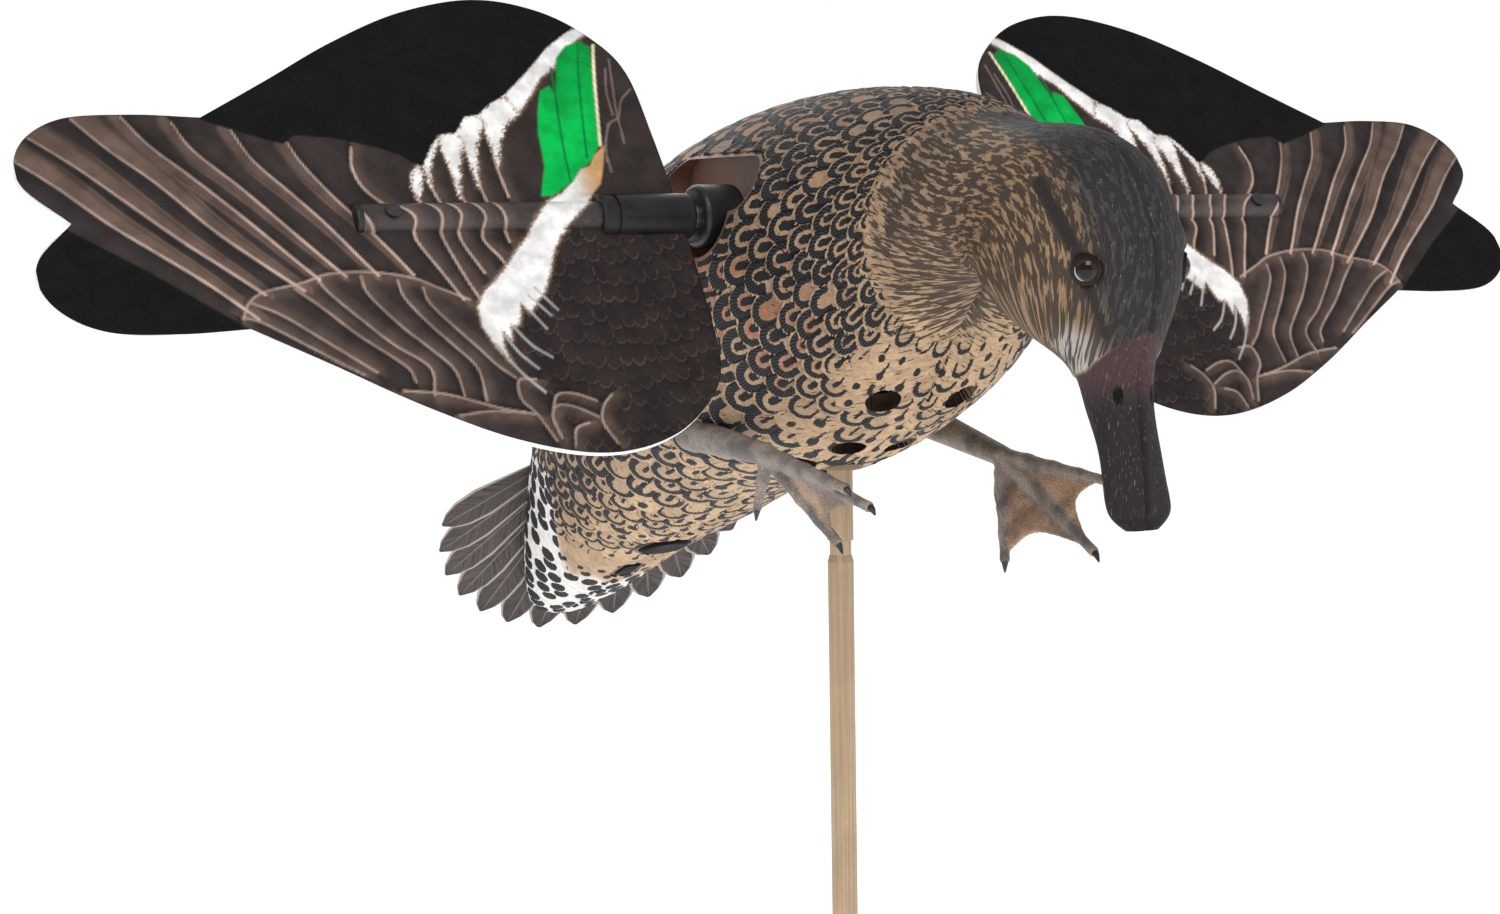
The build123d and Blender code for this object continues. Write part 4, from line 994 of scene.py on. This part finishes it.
def web_slab(ankle, toe, other):
    """The skin between two toes, with a hollowed edge and a slight sag, as a closed thin slab."""
    ankle, toe, other = (np.array(v, float) for v in (ankle, toe, other))
    half = 0.62
    out = unit(np.cross(toe - ankle, other - ankle))
    u, r = np.meshgrid(np.linspace(0, 1, 24), np.linspace(0.06, 1, 30), indexing="ij")
    r = r * (0.95 - 0.17 * np.sin(pi * u))
    mid = ankle + ((toe - ankle) * (1 - u)[..., None] + (other - ankle) * u[..., None]) * r[..., None]
    mid += out * (1.6 * np.sin(pi * u) * r * np.sin(pi * r * 0.8))[..., None]
    top, bottom = (mid + out * half).reshape(-1, 3), (mid - out * half).reshape(-1, 3)
    quads = grid_quads(24, 30)
    rim = rim_edges(quads)
    wall = np.c_[rim[:, 1], rim[:, 0], rim[:, 0] + len(top), rim[:, 1] + len(top)]
    return np.vstack([top, bottom]), np.vstack([quads, quads[:, ::-1] + len(top), wall])


def melted(name, points, quads):
    """One smooth skin round overlapping closed pieces."""
    mesh = new_mesh(name + "_rough", points, quads)
    rough = bpy.data.objects.new(name + "_rough", mesh)
    scene.collection.objects.link(rough)
    remesh = rough.modifiers.new("melt", "REMESH")
    remesh.mode, remesh.voxel_size = "VOXEL", 0.62 * MM
    smooth = rough.modifiers.new("smooth", "SMOOTH")
    smooth.iterations, smooth.factor = 5, 0.5
    done = bpy.data.meshes.new_from_object(rough.evaluated_get(bpy.context.evaluated_depsgraph_get()))
    bpy.data.objects.remove(rough)
    done.name = name
    done.shade_smooth()
    return done


def foot_material():
    s = Shader("foot_skin", 0.55, Specular_IOR_Level=0.4)
    at = s.place()
    web = s.read("web")
    cells = s.node("ShaderNodeTexVoronoi", {"Vector": at, "Scale": 0.75}, feature="DISTANCE_TO_EDGE")
    soft = s.noise(at, 0.10, 4)
    leg = s.mix(s.span(soft, 0.35, 0.65), rgba(104, 98, 96), rgba(156, 144, 134))
    sheet = s.mix(s.span(soft, 0.35, 0.65), rgba(128, 104, 88), rgba(184, 152, 126))
    tone = s.mix(web, leg, sheet)
    creases = s.span(cells.outputs["Distance"], 0.0, 0.12, 1, 0)
    # Painted shade: the creases between the scales are darkened.
    s.colour(s.mix(s.math("MULTIPLY", creases, 0.35), tone, rgba(70, 62, 58)))
    s.roughness(s.span(soft, 0.3, 0.7, 0.45, 0.62))
    s.bump(s.math("ADD", s.math("MULTIPLY", creases, -0.6), s.noise(at, 0.8, 3)), 0.25)
    return s.material


def add_feet():
    skin = foot_material()
    claw = moulded("claw", (24, 22, 22), (50, 46, 44), 0.35, 0.5, 0.02)
    for side_name, foot in FEET.items():
        bones = [(foot["hip"], foot["ankle"], 6.3, 3.9, 0), (foot["ankle"], foot["hind"], 2.9, 1.4, 1)]
        bones += [(foot["ankle"], toe, 3.3, 1.7, 2) for toe in foot["toes"]]
        parts = [limb(*bone) for bone in bones]
        parts += [web_slab(foot["ankle"], *pair) for pair in zip(foot["toes"][:-1], foot["toes"][1:])]
        mesh = melted("foot_skin_" + side_name, *joined(parts))
        at = np.zeros(len(mesh.vertices) * 3)
        mesh.vertices.foreach_get("co", at)
        at = at.reshape(-1, 3) / MM
        gap = np.full(len(at), 99.0)
        for start, end, a, b, _ in bones:
            d, r = np.array(end, float) - start, at - start
            f = np.clip(r @ d / (d @ d), 0, 1)
            gap = np.minimum(gap, np.linalg.norm(r - f[:, None] * d, axis=1) - (a + (b - a) * f))
        field(mesh, "web", step(gap, 0.2, 1.6))
        piece("foot_skin_" + side_name, mesh, [skin], "decoy", "foot", "foot_" + side_name)
        parts = []
        for tip in (*foot["toes"], foot["hind"]):
            ahead = unit(np.array(tip, float) - foot["ankle"])
            tip = np.array(tip, float) - ahead * 0.6
            hook = tip + ahead * 3.4 + np.array((0, 0, -1.6))
            bend = (tip + hook) / 2 + (0, 0, 0.5)
            parts += [limb(tip, bend, 1.5, 1.1, 0, 14, 12), limb(bend, hook, 1.1, 0.35, 0, 14, 12)]
        mesh = new_mesh("claws_" + side_name, *joined(parts))
        piece("claws_" + side_name, mesh, [claw], "decoy", "foot")


# ---------------------------------------------------------------- eyes

EYE_OUT = unit(np.array((0.783, -0.616, -0.084)))


def eye_material(side_name, side):
    s = Shader("eye_glass_" + side_name, 0.07, Coat_Weight=0.2, Coat_Roughness=0.03, Specular_IOR_Level=0.25)
    at = s.node("ShaderNodeTexCoord").outputs["Object"]
    pole = (EYE_AT + EYE_OUT * 5) * MM * (side, 1, 1)
    away = s.node("ShaderNodeVectorMath", {0: at, 1: tuple(pole)}, operation="DISTANCE").outputs["Value"]
    iris = s.mix(s.span(s.noise(s.place(), 2.5, 3), 0.35, 0.65), rgba(30, 16, 11), rgba(66, 37, 23))
    pupil = s.span(away, 2.3 * MM, 2.7 * MM)
    s.colour(s.mix(s.span(away, 4.2 * MM, 4.8 * MM), s.mix(pupil, rgba(8, 6, 6), iris), rgba(20, 14, 12)))
    return s.material


def add_eyes():
    lid_dark = moulded("lid", (24, 22, 22), (46, 41, 39), 0.65, 0.4, 0.05, Specular_IOR_Level=0.1)
    lid_pale = moulded("lid_pale", (132, 138, 150), (168, 172, 180), 0.45, 0.4, 0.04)
    first = unit(np.cross(EYE_OUT, (0, 0, 1)))
    second = np.cross(EYE_OUT, first)
    for side_name, side in SIDES:
        node = frame["nodes"]["eye_" + side_name]
        node.data.materials.clear()
        node.data.materials.append(eye_material(side_name, side))
        for label, low, high, radius, thick, out, material in (
            ("lid", 0, 360, 3.95, 0.95, 2.75, lid_dark), ("lid_pale", 100, 200, 3.3, 0.36, 3.7, lid_pale),
        ):
            rows, around = 60, 14
            turned = np.radians(np.linspace(low, high, rows))
            taper = 1.0 if high - low == 360 else np.sin(np.linspace(0.03, pi - 0.03, rows)) ** 0.6
            arm = np.cos(turned)[:, None] * first + np.sin(turned)[:, None] * second
            angle = np.linspace(0, 2 * pi, around, endpoint=False)
            size = (thick * taper * np.ones(rows))[:, None, None]
            at = (EYE_AT + EYE_OUT * out + arm * radius)[:, None] + size * (
                np.cos(angle)[None, :, None] * arm[:, None] + np.sin(angle)[None, :, None] * EYE_OUT)
            points = at.reshape(-1, 3) * (side, 1, 1)
            faces = tube_quads(rows, around)
            mesh = new_mesh(f"{label}_{side_name}", points, faces if side < 0 else faces[:, ::-1])
            piece(f"{label}_{side_name}", mesh, [material], "decoy", "eye")


# ---------------------------------------------------------------- finishes of the CAD nodes


def node_materials():
    """The finishes of the CAD nodes: one for each material slot of the record but eye, and rivet."""
    return {
        "liner": moulded("liner", (92, 66, 54), (112, 82, 66), 0.42, 0.8, 0.04),
        "pole": pole_material(),
        "steel": metal("steel", (176, 176, 180), 0.32),
        "rivet": metal("rivet", (92, 92, 96), 0.38),
        "clip": metal("clip", (214, 214, 216), 0.16),
        "brass": metal("brass", (188, 150, 88), 0.35),
        "nylon": moulded("nylon", (150, 128, 104), (134, 112, 90), 0.5),
        "black": moulded("black_moulding", (14, 14, 15), (30, 30, 32), 0.42, 0.5, 0.06),
        "black_satin": moulded("black_satin", (14, 14, 16), (34, 34, 37), 0.36, 0.35, 0.05,
                               Specular_IOR_Level=0.35),
        "cap": moulded("rubber_cap", (10, 10, 11), (22, 22, 24), 0.5, 0.5, 0.05, Specular_IOR_Level=0.03),
        "cell_wrap": moulded("cell_wrap", (38, 76, 130), (52, 92, 148), 0.3, 1.5, 0.05),
        "board": moulded("board", (28, 84, 52), (40, 100, 64), 0.4, 1.0, 0.05),
        "core": moulded("white_sheet", (226, 226, 224), (240, 240, 238), 0.6, 0.5, 0.03),
        "print": moulded("plain_print", (30, 29, 31), (44, 42, 43), 0.75, 0.5, 0.08),
        "shell": moulded("inner_shell", (120, 96, 74), (138, 112, 88), 0.6),
        "tail": moulded("inner_tail", (70, 64, 60), (90, 82, 76), 0.6),
        "foot": moulded("inner_foot", (130, 112, 96), (150, 130, 112), 0.6),
    }


def pole_material():
    """Satin tan coating with faint draw lines and a few rubs."""
    s = Shader("pole_coat", 0.42, Metallic=0.35)
    lines = s.noise(s.place((1, 1, 0.01)), 1.6, 4, 0.6)
    blotch = s.noise(s.place(), 0.03, 4)
    tone = s.mix(s.span(lines, 0.3, 0.7), rgba(158, 134, 106), rgba(186, 162, 132))
    rubs = s.span(s.noise(s.place((1, 1, 0.15)), 0.5, 5, 0.7), 0.66, 0.74, 0, 0.4)
    tone = s.mix(s.span(blotch, 0.4, 0.6, 0, 0.25), tone, rgba(140, 116, 90))
    s.colour(s.mix(rubs, tone, rgba(206, 188, 164)))
    s.roughness(s.span(lines, 0.3, 0.7, 0.34, 0.5))
    s.bump(lines, 0.03)
    return s.material


OWN_FINISH = {"wing_rivet_left": "rivet", "wing_rivet_right": "rivet", "rocker": "cap"}


def finish_nodes():
    finishes = node_materials()
    slots = {part["node"]: part["material_slot"] for part in frame["record"]["subparts"]}
    for name, node in frame["nodes"].items():
        if slots[name] != "eye":
            node.data.materials.clear()
            node.data.materials.append(finishes[OWN_FINISH.get(name, slots[name])])


# ---------------------------------------------------------------- run

add_camera()
add_studio()
feathers = skin_material()
hollow = moulded("hollow", (70, 54, 42), (92, 72, 56), 0.7)
for side_name, side in SIDES:
    add_skin(side_name, side, (feathers, hollow))
add_wings()
add_tail()
add_feet()
add_eyes()
finish_nodes()
